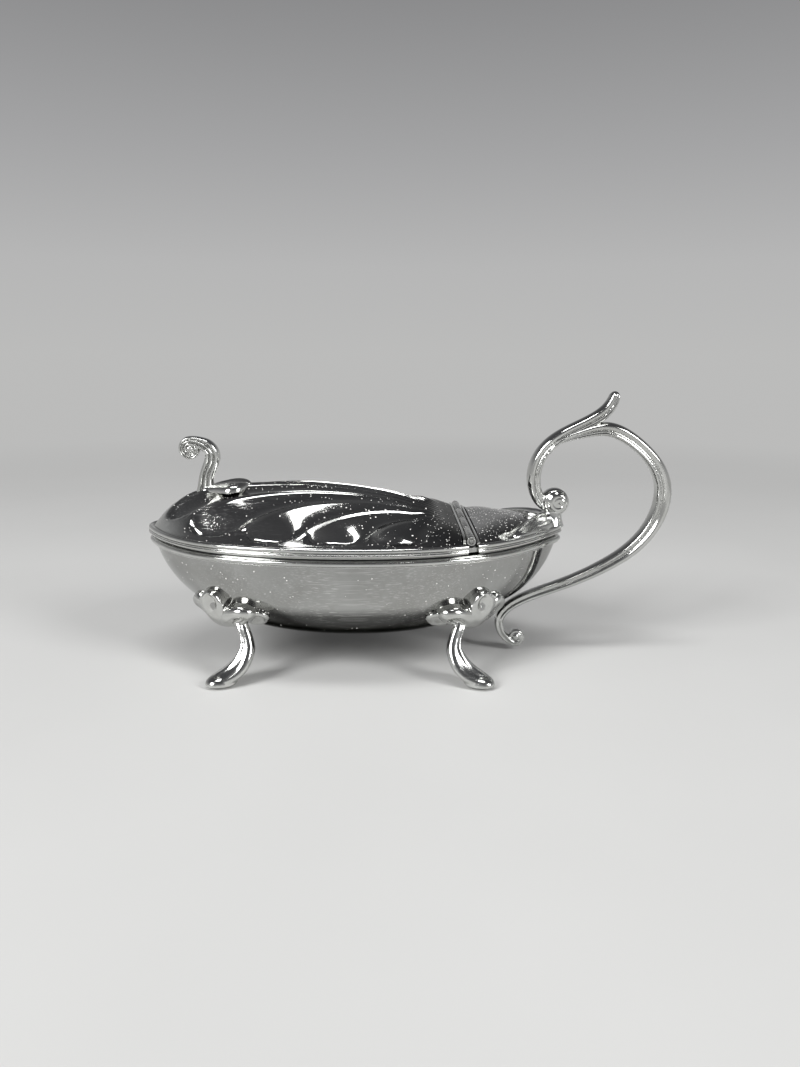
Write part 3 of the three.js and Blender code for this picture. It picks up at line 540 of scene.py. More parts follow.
def along(pairs, x):
    """A smooth value through (x, value) pairs of rising x."""
    px, py = (np.array(side, float) for side in zip(*pairs))
    slopes = np.empty_like(py)
    slopes[1:-1] = (py[2:] - py[:-2]) / (px[2:] - px[:-2])
    slopes[0] = (py[1] - py[0]) / (px[1] - px[0])
    slopes[-1] = (py[-1] - py[-2]) / (px[-1] - px[-2])
    x = np.clip(np.asarray(x, float), px[0], px[-1])
    i = np.clip(np.searchsorted(px, x, side="right") - 1, 0, len(px) - 2)
    span = px[i + 1] - px[i]
    t = (x - px[i]) / span
    return ((2 * t ** 3 - 3 * t ** 2 + 1) * py[i] + (t ** 3 - 2 * t ** 2 + t) * span * slopes[i]
            + (3 * t ** 2 - 2 * t ** 3) * py[i + 1] + (t ** 3 - t ** 2) * span * slopes[i + 1])


deck_crown = [(0, (hinge_z + deck_rail_above - edge_top) / deck_rise), (0.215, 0.9), (0.43, 1),
              (0.675, 0.82), (0.86, 0.5), (1, 0)]


def deck_height(x, share):
    back = (x - deck_front_x) / deck_length
    round_off = 1 - np.abs(share) ** (7 - 4.4 * smooth_step(0, 0.37, back))
    return edge_top + deck_rise * along(deck_crown, back) * round_off


def slab(top, bottom):
    """Points and faces of a thin solid between two grids."""
    rows, columns = top.shape[:2]
    below = rows * columns
    faces = grid_faces(rows, columns) + grid_faces(rows, columns, below)
    ids = np.arange(below).reshape(rows, columns)
    edge = np.concatenate([ids[0, :-1], ids[:-1, -1], ids[-1, :0:-1], ids[:0:-1, 0]])
    after = np.roll(edge, -1)
    faces += np.stack([edge, after, after + below, edge + below], -1).tolist()
    return np.concatenate([top.reshape(-1, 3), bottom.reshape(-1, 3)]), faces


def deck_sheet():
    rows = np.linspace(0, 1, 70)[:, None]
    shares = np.sin(np.linspace(-1, 1, 91) * math.pi / 2)[None, :]
    x = deck_front_x + deck_length * rows + 0 * shares
    y = half_width_at(x, sheet_edge) * shares
    top = np.stack([x, y, deck_height(x, shares)], -1)
    bottom = top - (0, 0, deck_sheet_thick)
    bottom[:, 0, 2] = bottom[:, -1, 2] = bottom[-1, :, 2] = lid_seat
    return slab(top, bottom)


# painted shade: the deck's silver is far darker than the lid's, as a dark reflection; its dust specks are
# real
deck_silver = silver("deck_silver", shade=0.32, dull=0.09, scratch=1.0, wave=0.012, seed=2.9, crevice=0.3,
                     dust=0.85)
deck_plate = make_piece("deck_plate", *deck_sheet(), deck_silver)
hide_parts("rear_deck")
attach(deck_plate, "server")

# Hinge
# The split between lid and deck has an upright fold along each side. A barrel of four knuckles
# lies between them, in turn on the lid and the deck, and one wire pin holds them.
barrel_half = float(half_width_at(hinge_x, sheet_edge)) + 0.5
knuckle_count = 4
knuckle_gap = 0.3
hinge_silver = silver("hinge_silver", shade=0.42, dull=0.20, scratch=0.8, wave=0.004, seed=4.1, crevice=0.9)
pin_metal = silver("pin_metal", shade=0.34, dull=0.30, scratch=0.5, wave=0.002, seed=5.3, crevice=0.6)

tree, given, end = tree_with_inputs("barrel_knuckles", {
    "Barrel radius": 1.6 * mm, "Bore radius": 0.85 * mm, "Length": 16 * mm, "Edge rounding": 0.15 * mm})
knuckle_tree = tree
wall_middle = calc(tree, "MULTIPLY", calc(tree, "ADD", given["Barrel radius"], given["Bore radius"]), 0.5)
wall = calc(tree, "SUBTRACT", given["Barrel radius"], given["Bore radius"])
ring = node(tree, "GeometryNodeCurvePrimitiveCircle", {"Resolution": 48, "Radius": wall_middle})
ring = node(tree, "GeometryNodeSetCurveNormal", {"Curve": ring, "Normal": (0, 0, 1)}, mode="FREE")
cut = node(tree, "GeometryNodeCurvePrimitiveQuadrilateral", {"Width": given["Length"], "Height": wall})
cut = node(tree, "GeometryNodeFilletCurve", {"Curve": cut, "Count": 4, "Radius": given["Edge rounding"]},
           mode="POLY")
tube = node(tree, "GeometryNodeCurveToMesh", {"Curve": ring, "Profile Curve": cut})
tube = node(tree, "GeometryNodeTransform", {"Geometry": tube, "Rotation": (math.pi / 2, 0, 0)})
spots = node(tree, "GeometryNodeMeshToPoints", {0: given["Geometry"]})
end(node(tree, "GeometryNodeInstanceOnPoints", {"Points": spots, "Instance": tube}))

knuckle_pitch = 2 * barrel_half / knuckle_count
for owner, body, first in (("lid", "lid", 0), ("deck", "server", 1)):
    own = range(first, knuckle_count, 2)
    spots = [(hinge_x, -barrel_half + (i + 0.5) * knuckle_pitch, hinge_z) for i in own]
    knuckles = path_piece(f"{owner}_knuckles", spots)
    grow(knuckles, knuckle_tree, hinge_silver, {"Length": (knuckle_pitch - knuckle_gap) * mm})
    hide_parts(*[f"hinge_knuckle_{owner}_{i + 1}" for i in own])
    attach(knuckles, body)


def hinge_seat():
    """A tongue of the deck plate that lies under the barrel and closes the gap between the mouldings."""
    share = np.linspace(-1, 1, 81)[None, :]
    run = np.linspace(-1.55, deck_front_x - hinge_x + 0.4, 12)[:, None]
    x = hinge_x + run + 0 * share
    y = half_width_at(x, 0.9) * share
    top = 0 * x + hinge_z - 1.95 - 0.25 * (run < -1.5)
    bottom = 0 * x + lid_seat + 1.2
    return slab(np.stack([x, y, top], -1), np.stack([x, y, bottom], -1))


seat = make_piece("hinge_seat", *hinge_seat(), hinge_silver)
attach(seat, "server")


def turned(profile):
    """A body turned about the hinge line, from (distance along it, radius) pairs."""
    around = 40
    a = np.linspace(0, full_turn, around, endpoint=False)
    y, r = (np.array(side, float)[:, None] for side in zip(*profile))
    points = np.stack([hinge_x + r * np.cos(a), y + 0 * a, hinge_z + r * np.sin(a)], -1)
    return points, grid_faces(len(profile), around, looped=True)


pin_end = barrel_half + 0.25
pin_side = [(-pin_end, 0), (-pin_end, 0.42), (-pin_end + 0.12, 0.66), (-pin_end + 0.35, 0.78)]
pin = make_piece("pin", *turned(pin_side + [(-y, r) for y, r in reversed(pin_side)]), pin_metal)
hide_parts("hinge_pin")
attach(pin, "server")

fold_half_thick = 0.45
fold_below = 1.0
fold_droop = 1.2
lid_rail_above = 1.9


def fold(x, above):
    """An upright fold of sheet along the hinge, round on top, that comes down towards its two ends."""
    y = np.linspace(-1, 1, 121)[:, None]
    a = np.linspace(0, math.pi, 13)
    middle = hinge_z + above - fold_droop * np.abs(y) ** 9 - fold_half_thick
    across = fold_half_thick * np.append(np.cos(a), [-1, 1])
    z = np.hstack([middle + fold_half_thick * np.sin(a), np.full((len(y), 2), hinge_z - fold_below)])
    points = np.stack([x + across + 0 * y, y * barrel_half + 0 * across, z], -1)
    return points, grid_faces(*z.shape, looped=True, capped=True)


for owner, body, x, above in (("lid", "lid", lid_rail_x, lid_rail_above),
                              ("deck", "server", deck_rail_x, deck_rail_above)):
    strip = make_piece(f"{owner}_fold", *fold(x, above), wire_silver)
    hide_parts(f"{owner}_hinge_rail")
    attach(strip, body)

# Handle
# Two cast straps, each of an outer and an inner reed: the upper scroll grows from a rolled ball on
# the deck, and the finger loop runs from it round to the bowl's end and curls up in a small tail.
strap_thick = 5.6
strap_wide = 6.4
ball_radius = 5.1
ball_x = half_length - 1.3
ball_z = moulding_top + 8.4
contact_z = bowl_bottom + 12.6
contact_x = half_length * float(bowl_size_at(contact_z))
tail_middle = (contact_x + 1.1, 5.5)
handle_silver = silver("handle_silver", shade=0.66, dull=0.09, scratch=0.6, wave=0.008, seed=6.2, crevice=0.7)


def mark(tree, label):
    return node(tree, "GeometryNodeInputNamedAttribute", {"Name": label}, data_type="FLOAT")


def with_y_or_z(tree, geometry, change):
    """Moves the points of a geometry to what a function makes of their x, y and z."""
    x, y, z = split(tree, node(tree, "GeometryNodeInputPosition"))
    spot = node(tree, "ShaderNodeCombineXYZ", dict(zip("XYZ", change(x, y, z))))
    return node(tree, "GeometryNodeSetPosition", {"Geometry": geometry, "Position": spot})


reeds = ["Outer reed", "Middle reed", "Inner reed"]
reed_sizes = ["place", "half thickness", "half width"]
strap_tree, given, end = tree_with_inputs("reeded_strap", bead_inputs(reeds, reed_sizes, 0.2))
sections = []
for reed in reeds:
    ring = node(strap_tree, "GeometryNodeCurvePrimitiveCircle", {"Resolution": 32, "Radius": 1.0})
    size = node(strap_tree, "ShaderNodeCombineXYZ", {
        "X": given[f"{reed} half thickness"], "Y": given[f"{reed} half width"], "Z": 1.0})
    sections.append(moved(strap_tree, ring, given[f"{reed} place"], scale=size))
heading = node(strap_tree, "GeometryNodeInputTangent")
outwards = node(strap_tree, "ShaderNodeVectorMath", {0: heading, 1: (0, 1, 0)}, operation="CROSS_PRODUCT")
swept = sweep(strap_tree, given["Geometry"], sections, outwards, Scale=mark(strap_tree, "thick"))
widen = mark(strap_tree, "widen")
end(with_y_or_z(strap_tree, swept, lambda x, y, z: (x, calc(strap_tree, "MULTIPLY", y, widen), z)))


def reed_set(*values):
    """Sizes for the tree from (place, half thickness, half width) of each reed, as shares of the strap."""
    return {f"{reed} {size}": share for reed, row in zip(reeds, values)
            for size, share in zip(reed_sizes, row)}


handle_reeds = reed_set((0.17, 0.33, 0.5), (-0.14, 0.10, 0.43), (-0.31, 0.19, 0.44))


def through(stations, per_span=10):
    """A smooth run through stations, each a row of numbers that starts with x and z."""
    rows = np.array(stations, float)
    rows = np.vstack([2 * rows[0] - rows[1], rows, 2 * rows[-1] - rows[-2]])
    knots = np.concatenate([[0], np.cumsum(np.sqrt(np.hypot(*np.diff(rows[:, :2], axis=0).T)))])
    made = []
    for i in range(1, len(rows) - 2):
        t0, t1, t2, t3 = knots[i - 1:i + 3]
        last = i == len(rows) - 3
        for t in np.linspace(t1, t2, per_span + last, endpoint=last):
            a1 = ((t1 - t) * rows[i - 1] + (t - t0) * rows[i]) / (t1 - t0)
            a2 = ((t2 - t) * rows[i] + (t - t1) * rows[i + 1]) / (t2 - t1)
            a3 = ((t3 - t) * rows[i + 1] + (t - t2) * rows[i + 2]) / (t3 - t2)
            b1 = ((t2 - t) * a1 + (t - t0) * a2) / (t2 - t0)
            b2 = ((t3 - t) * a2 + (t - t1) * a3) / (t3 - t1)
            made.append(((t2 - t) * b1 + (t - t1) * b2) / (t2 - t1))
    return np.array(made)


def length_left(run):
    return np.append(np.cumsum(np.hypot(*np.diff(run[::-1, :2], axis=0).T))[::-1], 0)


def reeded_strap(name, stations, sizes, material, round_end=0.0, firm=0.0):
    """A strap along stations of (x, z, thickness, width). Its far end can be rounded off over a
    length, and a length of that end kept as it is while the rest is smoothed."""
    run = through(stations)
    give = 0.25
    if firm:
        give *= smooth_step(firm * 0.8, firm * 1.5, length_left(run))[1:-1, None]
    for _ in range(90):
        run[1:-1] += (run[:-2] + run[2:] - 2 * run[1:-1]) * give
    if round_end:
        inwards = np.clip(length_left(run) / round_end, 0, 1)
        run[:, 2:] *= np.sqrt(np.clip(1 - (1 - inwards) ** 2, 0.003, 1))[:, None]
    x, z, thick, wide = run.T
    strap = path_piece(name, np.stack([x, 0 * x, z], -1), thick=thick * mm, widen=wide / thick)
    grow(strap, strap_tree, material, sizes, crease=120)
    return strap


def rolled_ball(x, z, radius, across, eye=(0.0, 0.0), groove=0.0):
    """The rolled end of a scroll: a lump with a spiral cut into both cheeks, winding in to a small eye."""
    rings, around = 72, 120
    u = np.linspace(0, math.pi, rings)[:, None]
    a = np.linspace(0, full_turn, around, endpoint=False)[None, :]
    out = np.sin(u)
    side = np.cos(u)
    cheek = np.abs(side)
    cut = 0 * out * a
    for lap in range(-1, 3):
        where = 0.86 - 0.34 * (a / full_turn + lap)
        cut += np.exp(-((out - where) / 0.062) ** 2) * (where > 0.16) * (where < 0.93)
    dish = 0.20 * np.exp(-(out / 0.26) ** 2) - 0.15 * np.exp(-(out / 0.12) ** 2)
    push = 1 - (groove * cut * np.clip(cheek * 3, 0, 1) + dish) * (out < 0.97)
    px = x + radius * (out * np.cos(a) + eye[0] * (1 - out))
    pz = z + radius * (out * np.sin(a) + eye[1] * (1 - out))
    py = -across * np.sign(side) * cheek ** 0.72 * push + 0 * a
    return np.stack([px, py, pz], -1), grid_faces(rings, around, looped=True)


def cast_smooth(piece, grain, passes):
    """Melts overlapping shapes into one skin of a given grain, and rubs it smooth."""
    melt = piece.modifiers.new("melt", "REMESH")
    melt.mode = "VOXEL"
    melt.voxel_size = grain * mm
    rub = piece.modifiers.new("rub", "SMOOTH")
    rub.factor = 0.5
    rub.iterations = passes
    depsgraph = bpy.context.evaluated_depsgraph_get()
    made = bpy.data.meshes.new_from_object(piece.evaluated_get(depsgraph), depsgraph=depsgraph)
    piece.modifiers.clear()
    piece.data = made
    made.shade_smooth()
    made.set_sharp_from_angle(angle=80 * degree)


def add_ball(strap, material, *ball, **shape):
    """Puts a rolled ball into the mesh of a strap."""
    lump = make_piece("rolled_ball", *rolled_ball(*ball, **shape), material, crease=80)
    work = bmesh.new()
    work.from_mesh(strap.data)
    work.from_mesh(lump.data)
    work.to_mesh(strap.data)
    work.free()
    bpy.data.objects.remove(lump)


def strap_stations(rows):
    """Stations from (out, up) beyond the ball's middle and shares of the strap's thickness and width."""
    return [(ball_x + x, ball_z + z, thick * strap_thick, wide * strap_wide) for x, z, thick, wide in rows]


upper_scroll = reeded_strap("upper_scroll", strap_stations([
    (-0.4, -3.4, 0.42, 0.7), (-3.6, -2.2, 0.62, 0.8), (-6.2, 0.6, 0.8, 0.9), (-8.1, 5.0, 0.92, 1),
    (-8.6, 10.2, 0.95, 1), (-7.5, 15.6, 0.96, 1), (-4.2, 20.9, 0.93, 1), (1.1, 25.0, 0.86, 1),
    (6.9, 27.8, 0.84, 0.98), (12.2, 30.3, 0.86, 0.95), (16.6, 32.9, 0.88, 0.92),
    (19.1, 35.7, 0.86, 0.86), (20.4, 38.7, 0.76, 0.78), (20.8, 41.3, 0.60, 0.70)]),
    handle_reeds, handle_silver, round_end=2.2)
add_ball(upper_scroll, handle_silver, ball_x, ball_z, ball_radius + 0.2, ball_radius * 0.94,
         eye=(0.26, -0.10), groove=0.05)
cast_smooth(upper_scroll, 0.19, 5)
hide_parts("handle_upper_scroll")
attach(upper_scroll, "server")


def curl(middle, start, laps, radii, thicks, wides):
    """Stations winding in round a middle from a start angle; radii and sizes run from outside to eye."""
    s = np.linspace(0, 1, round(9 * laps) + 1)
    a = (start + s * laps * 360) * degree
    r, thick, wide = (first + (last - first) * s for first, last in (radii, thicks, wides))
    return list(zip(middle[0] + r * np.cos(a), middle[1] + r * np.sin(a), thick, wide))


loop_line = strap_stations([
    (-7.4, 13.5, 0.20, 0.70), (-5.6, 18.0, 0.28, 0.78), (-2.7, 21.4, 0.38, 0.86), (1.5, 23.8, 0.50, 0.92),
    (7.7, 25.3, 0.66, 0.96), (14.6, 27.6, 0.92, 1), (20.8, 28.0, 1.02, 1), (29.3, 22.8, 0.92, 1),
    (36.4, 16.4, 0.96, 1), (40.4, 9.8, 1.08, 1), (41.5, 3.0, 1.12, 1), (40.4, -4.2, 1.12, 1),
    (37.0, -11.2, 1.08, 1), (31.6, -17.9, 1.0, 1), (23.9, -23.3, 0.90, 1), (14.4, -28.4, 0.82, 0.96),
    (5.7, -32.1, 0.75, 0.93), (-2.4, -34.9, 0.74, 0.90), (-10.3, -37.7, 0.74, 0.88),
    (-16.2, -41.2, 0.68, 0.84), (-19.6, -46.2, 0.62, 0.78), (-18.6, -51.6, 0.58, 0.72)])
loop_line += curl(tail_middle, 215, 1.15, (2.85, 1.1), (0.50 * strap_thick, 0.26 * strap_thick),
                  (0.68 * strap_wide, 0.52 * strap_wide))
finger_loop = reeded_strap("finger_loop", loop_line, handle_reeds, handle_silver, firm=26)
add_ball(finger_loop, handle_silver, *tail_middle, 1.6, 2.6)
cast_smooth(finger_loop, 0.19, 5)
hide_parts("handle_loop")
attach(finger_loop, "server")

# Leaf at the handle's root
# A small cast leaf is soldered on the deck's tip under the ball: a tongue towards the hinge,
# two curled side lobes along the moulding, and the neck that carries the ball.
leaf_silver = silver("leaf_silver", shade=0.68, dull=0.14, scratch=0.5, wave=0.014, seed=7.7, crevice=0.9)


def carved_lobe(surface, line, height, fall=0.0, hollow=0.0, spot=(0.6, 0.0), size=(0.20, 0.5), taper=3.2):
    """A full lobe laid on a surface. The line is (u, v, half width) over the surface's own two directions,
    and surface(u, v) gives its points and outward directions. The lobe falls by a share towards its tip,
    its ends are blunter for a higher taper, and a hollow is sunk at a spot of its face."""
    line = through(line, 8)
    head = np.gradient(line[:, :2], axis=0)
    head /= np.linalg.norm(head, axis=1)[:, None]
    s = np.linspace(0, 1, len(line))[:, None]
    c = np.linspace(-1, 1, 29)[None, :]
    u = line[:, :1] - head[:, 1:] * line[:, 2:3] * c
    v = line[:, 1:2] + head[:, :1] * line[:, 2:3] * c
    round_off = np.sqrt(np.clip(1 - c ** 2, 0, 1))
    ends = np.sqrt(np.clip(1 - np.abs(2 * s - 1) ** taper, 0, 1))
    away = ((s - spot[0]) / size[0]) ** 2 + ((c - spot[1]) / size[1]) ** 2
    rise = height * (1 - fall * s) * ends * (round_off ** 0.75 - hollow * np.exp(-away ** 1.2))
    base, out = surface(u, v)
    return slab(base + out * rise[..., None], base - out * 1.2)


def put_together(name, shapes, material):
    """One piece from several (points, faces)."""
    points, faces = [], []
    for shape_points, shape_faces in shapes:
        start = sum(len(p) for p in points)
        points.append(np.asarray(shape_points).reshape(-1, 3))
        faces += [[i + start for i in face] for face in shape_faces]
    return make_piece(name, np.concatenate(points), faces, material)


def deck_surface(x, y):
    share = np.clip(np.abs(y) / np.maximum(half_width_at(x, sheet_edge), 0.4), 0, 1)
    z = np.maximum(deck_height(np.minimum(x, deck_rear_x), share), edge_top)
    return np.stack([x, y, z], -1), np.zeros(x.shape + (3,)) + (0, 0, 1)


def root_leaf_shapes():
    tongue = [(ball_x + x, 0, half) for x, half in ((0.5, 4.6), (-3.5, 5.0), (-7.5, 4.2), (-10.5, 2.4),
                                                    (-11.6, 0.5))]
    shapes = [carved_lobe(deck_surface, tongue, 2.3, hollow=0.35)]
    for s in (-1, 1):
        side = [(ball_x - 0.2, 0.0, 2.6)]
        for x, inset, half in ((-2.6, 4.4, 3.2), (-6.0, 3.2, 3.3), (-10.0, 2.2, 2.8), (-13.6, 1.4, 2.2),
                               (-16.6, 0.9, 1.5), (-18.6, 0.7, 0.7)):
            edge = float(half_width_at(ball_x + x, sheet_edge))
            side.append((ball_x + x, s * (edge - inset), half))
        shapes.append(carved_lobe(deck_surface, side, 4.0, fall=0.72, taper=2.8))
    run = np.linspace(0, 1, 20)[:, None]
    a = np.linspace(0, full_turn, 32, endpoint=False)[None, :]
    low, high = edge_top - 0.4, ball_z - 2.0
    thick = 5.6 - 2.3 * np.sin(run * math.pi / 2) ** 0.9 + 0.5 * run ** 4
    neck = np.stack([ball_x - 1.6 + 1.2 * run + thick * np.cos(a), 1.05 * thick * np.sin(a),
                     low + (high - low) * run + 0 * a], -1)
    return shapes + [(neck, grid_faces(*neck.shape[:2], looped=True, capped=True))]


root_leaf = put_together("root_leaf", root_leaf_shapes(), leaf_silver)
cast_smooth(root_leaf, 0.24, 8)
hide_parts("handle_root_leaf")
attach(root_leaf, "server")

# Feet
# Four cast feet are soldered to the bowl's side. Each spreads in a shell of three dished petals and
# a flat flange, narrows to a keeled leg with a knee, and ends in a spoon-shaped pad.
foot_silver = silver("foot_silver", shade=0.66, dull=0.13, scratch=0.6, wave=0.012, seed=8.8, crevice=0.9)
foot_x = half_length - 34.3
foot_centre_x = -2.2
shell_height = 26.0
petal_side = 0.46
petal_soft = 3.0
splay_angle = 38 * degree

# outer petal, flat flange, inner petal and middle petal: stations of (out, up, half width), then
# height, fall, hollow, its spot, and its size
petals = [
    ([(1.6, -8.4, 2.6), (5.0, -6.2, 3.8), (8.0, -3.8, 4.2), (10.2, -1.3, 3.7), (11.6, 1.0, 2.7),
      (12.5, 3.0, 1.0)], 6.4, 0.50, 0.30, (0.55, 0.0), (0.24, 0.50)),
    ([(-5.4, -6.4, 1.8), (-7.8, -5.0, 3.2), (-10.4, -3.8, 3.6), (-12.8, -3.0, 2.7), (-14.6, -2.6, 0.8)],
     2.4, 0.20, 0.35, (0.60, 0.0), (0.20, 0.40)),
    ([(1.4, -7.8, 2.4), (-0.6, -5.2, 4.0), (-3.4, -2.8, 4.7), (-6.4, -1.7, 4.1), (-9.1, -1.4, 2.7),
      (-11.0, -1.5, 0.8)], 7.4, 0.36, 0.40, (0.56, 0.16), (0.13, 0.26)),
    ([(-0.8, -10.6, 2.2), (0.6, -6.6, 3.8), (2.7, -2.6, 4.6), (4.9, 1.3, 4.5), (6.5, 4.4, 3.4),
      (7.5, 6.2, 1.0)], 8.0, 0.56, 0.62, (0.68, 0.34), (0.17, 0.34))]

# leg: out along the bowl, share of the shell's height, out from the bowl, and shares of its half sizes
leg_half_wide = 2.7
leg_half_thick = 2.2
leg = [(-1.2, 0.90, 0.4, 1.4, 1.0), (-2.8, 0.82, 1.6, 1.0, 1.0), (-4.2, 0.72, 3.0, 0.92, 1.05),
       (-5.5, 0.59, 4.4, 0.94, 1.05), (-5.8, 0.47, 5.4, 1.14, 1.1), (-4.6, 0.35, 6.5, 1.48, 1.15),
       (-2.3, 0.23, 7.8, 1.78, 1.15), (1.0, 0.14, 9.2, 1.86, 1.05), (4.2, 0.09, 10.6, 1.6, 0.9)]

# pad: a round lump, longer ahead than behind, whose lower half is cut off flat by the table
pad_behind = 4.6
pad_ahead = 6.9
pad_half_wide = 4.8
pad_above = 3.2
pad_below = 1.7
pad_middle_z = 1.54
pad_out = 2.2
pad_off_bowl = 9.2


def foot_shapes(sx, sy):
    side = float(bowl_side(np.array(foot_centre_x + sx * foot_x), shell_height))

    def skin(x, z):
        """The bowl's side; past the bowl's end the petals stand free beside it."""
        free = petal_side * side
        lead = bowl_side(x, z) - free
        return np.stack([x, sy * (free + (lead + np.hypot(lead, petal_soft)) / 2), z], -1)

    def bowl_surface(out, up):
        x = foot_centre_x + sx * (foot_x + out)
        z = shell_height + up
        here = skin(x, z)
        normal = np.cross(skin(x + 0.2, z) - here, skin(x, z + 0.2) - here)
        normal *= np.sign(normal[..., 1:2]) * sy
        normal[..., 2] *= 0.32
        return here, normal / np.linalg.norm(normal, axis=-1, keepdims=True)

    shapes = [carved_lobe(bowl_surface, *petal, taper=2.6) for petal in petals]

    leg_x = foot_centre_x + 1.2 + sx * foot_x
    run = through(np.array(leg) * (1, shell_height, 1, 1, 1), 8)
    centre = np.stack([leg_x + sx * run[:, 0], sy * (side + run[:, 2]), run[:, 1]], -1)
    head = np.gradient(centre, axis=0)
    head /= np.linalg.norm(head, axis=1)[:, None]
    splay = np.array([sx * math.cos(splay_angle), sy * math.sin(splay_angle), 0.0])
    across = np.cross(head, splay)
    across[:, 2] = 0
    across /= np.linalg.norm(across, axis=1)[:, None]
    front = np.cross(across, head)
    front *= np.where(np.sum(front * splay, 1) + front[:, 2] * 0.5 < 0, -1, 1)[:, None]
    across *= leg_half_wide * run[:, 3:4]
    front *= leg_half_thick * run[:, 4:]
    a = np.linspace(0, full_turn, 40, endpoint=False)[:, None]
    keeled = np.sin(a) + 0.34 * np.exp(-((a - math.pi / 2) / 0.24) ** 2)
    rings = centre[:, None] + across[:, None] * np.cos(a) + front[:, None] * keeled
    rings[..., 2] = np.maximum(rings[..., 2], 0)
    shapes.append((rings, grid_faces(*rings.shape[:2], looped=True, capped=True)))

    u = np.linspace(0, math.pi, 30)[:, None]
    b = np.linspace(0, full_turn, 56, endpoint=False)[None, :]
    px = np.where(np.cos(b) < 0, pad_behind, pad_ahead) * np.sin(u) * np.cos(b)
    py = pad_half_wide * np.sin(u) * np.sin(b)
    pz = np.where(np.cos(u) > 0, pad_above, pad_below) * np.cos(u) + 0 * b
    pz += 0.5 * np.exp(-(py / 0.9) ** 2) * np.clip(0.6 - np.cos(b), 0, 1) * (np.cos(u) > 0)
    pad_x = leg_x + sx * (pad_out + px * math.cos(splay_angle) - py * math.sin(splay_angle))
    pad_y = sy * (side + pad_off_bowl + px * math.sin(splay_angle) + py * math.cos(splay_angle))
    pad = np.stack([pad_x, pad_y, np.maximum(pad_middle_z + pz, 0.0)], -1)
    return shapes + [(pad, grid_faces(*pad.shape[:2], looped=True))]


for end_name, sx in (("front", -1), ("rear", 1)):
    for side_name, sy in (("near", -1), ("far", 1)):
        foot = put_together(f"foot_{end_name}_{side_name}_casting", foot_shapes(sx, sy), foot_silver)
        cast_smooth(foot, 0.22, 7)
        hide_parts(f"foot_{end_name}_{side_name}")
        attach(foot, "server")

# Glass liner
# A loose pressed-glass dish stands in the bowl and holds the caviar over the ice. It has a thick
# wall, a fire-polished rim and slight ripples from the mould.
liner_glass = bpy.data.materials.new("liner_glass")
tree = bare_tree(liner_glass)
place = node(tree, "ShaderNodeTexCoord", out="Object")
ripple = node(tree, "ShaderNodeTexNoise", {"Vector": place, "Scale": 60.0, "Detail": 2.0})
cloud = node(tree, "ShaderNodeTexNoise", {"Vector": place, "Scale": 240.0, "Detail": 4.0})
haze = ramp(tree, cloud, [(0.4, 0.02), (0.75, 0.09)])
wave = node(tree, "ShaderNodeBump", {"Height": ripple, "Strength": 0.6, "Distance": 0.12 * mm})
skin = node(tree, "ShaderNodeBsdfPrincipled", {
    "Base Color": (0.985, 0.996, 0.99, 1), "Roughness": haze, "IOR": 1.5, "Transmission Weight": 1.0,
    "Normal": wave})
node(tree, "ShaderNodeOutputMaterial", {"Surface": skin})

liner_low, liner_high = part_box("glass_liner")
liner_wall = 2.4
liner_base_share = 0.42


def liner_shape():
    turns = np.linspace(0, full_turn, 128, endpoint=False)[None, :]
    middle = (liner_low.x + liner_high.x) / 2 / mm - middle_x / mm
    a = (liner_high.x - liner_low.x) / 2 / mm
    b = (liner_high.y - liner_low.y) / 2 / mm
    low, high, lip = liner_low.z / mm, liner_high.z / mm, liner_wall / 2
    rows = np.linspace(0, 1, 40)[:, None]
    size = liner_base_share + (1 - liner_base_share) * np.sin(rows * math.pi / 2) ** 0.75
    corner = np.linspace(0, math.pi, 9)[1:-1, None]

    def ring(size, shrink, z):
        return np.stack([middle + (a * size - shrink) * np.cos(turns), (b * size - shrink) * np.sin(turns),
                         z + 0 * turns], -1)
    outside = ring(size, 0, low + (high - lip - low) * rows)
    rim = ring(1, lip * (1 - np.cos(corner)), high - lip + lip * np.sin(corner))
    inside = ring(size, liner_wall, low + liner_wall + (high - lip - low - liner_wall) * rows)[::-1]
    points = np.concatenate([outside, rim, inside])
    return points, grid_faces(*points.shape[:2], looped=True, capped=True)


liner = make_piece("liner", *liner_shape(), liner_glass, crease=60)
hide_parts("glass_liner")
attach(liner, "server")

# Lid
# The lid is stamped from one sheet as a shell: flutes fan out from the hinge to the rim, each
# hollow between two fine ridges, and flatten out just before the edge turns down.
lid_rear_x = lid_rail_x - sheet_gap
lid_rise = 15.5
lid_crown_x = -22
lid_sheet_thick = 1.1
crown_start = 0.3 - half_length
front_crown = [(0, 0), (0.093, 0.37), (0.204, 0.66), (0.352, 0.84), (0.593, 0.96)]
rear_crown = [(0, 1), (0.236, 0.94), (0.439, 0.84), (0.642, 0.68), (0.794, 0.49),
              (1, (hinge_z + lid_rail_above - edge_top) / lid_rise)]
crown_line = [(crown_start + s * (lid_crown_x - crown_start), rise) for s, rise in front_crown]
crown_line += [(lid_crown_x + s * (lid_rear_x - lid_crown_x), rise) for s, rise in rear_crown]


def dome_height(x, y):
    half = np.maximum(half_width_at(x, sheet_edge), 1e-3)
    power = 2.2 + 7.0 * smooth_step(20, lid_rear_x, x)
    side = np.minimum(np.abs(y) / half, 1) ** power
    return edge_top + lid_rise * along(crown_line, x) * (1 - side)


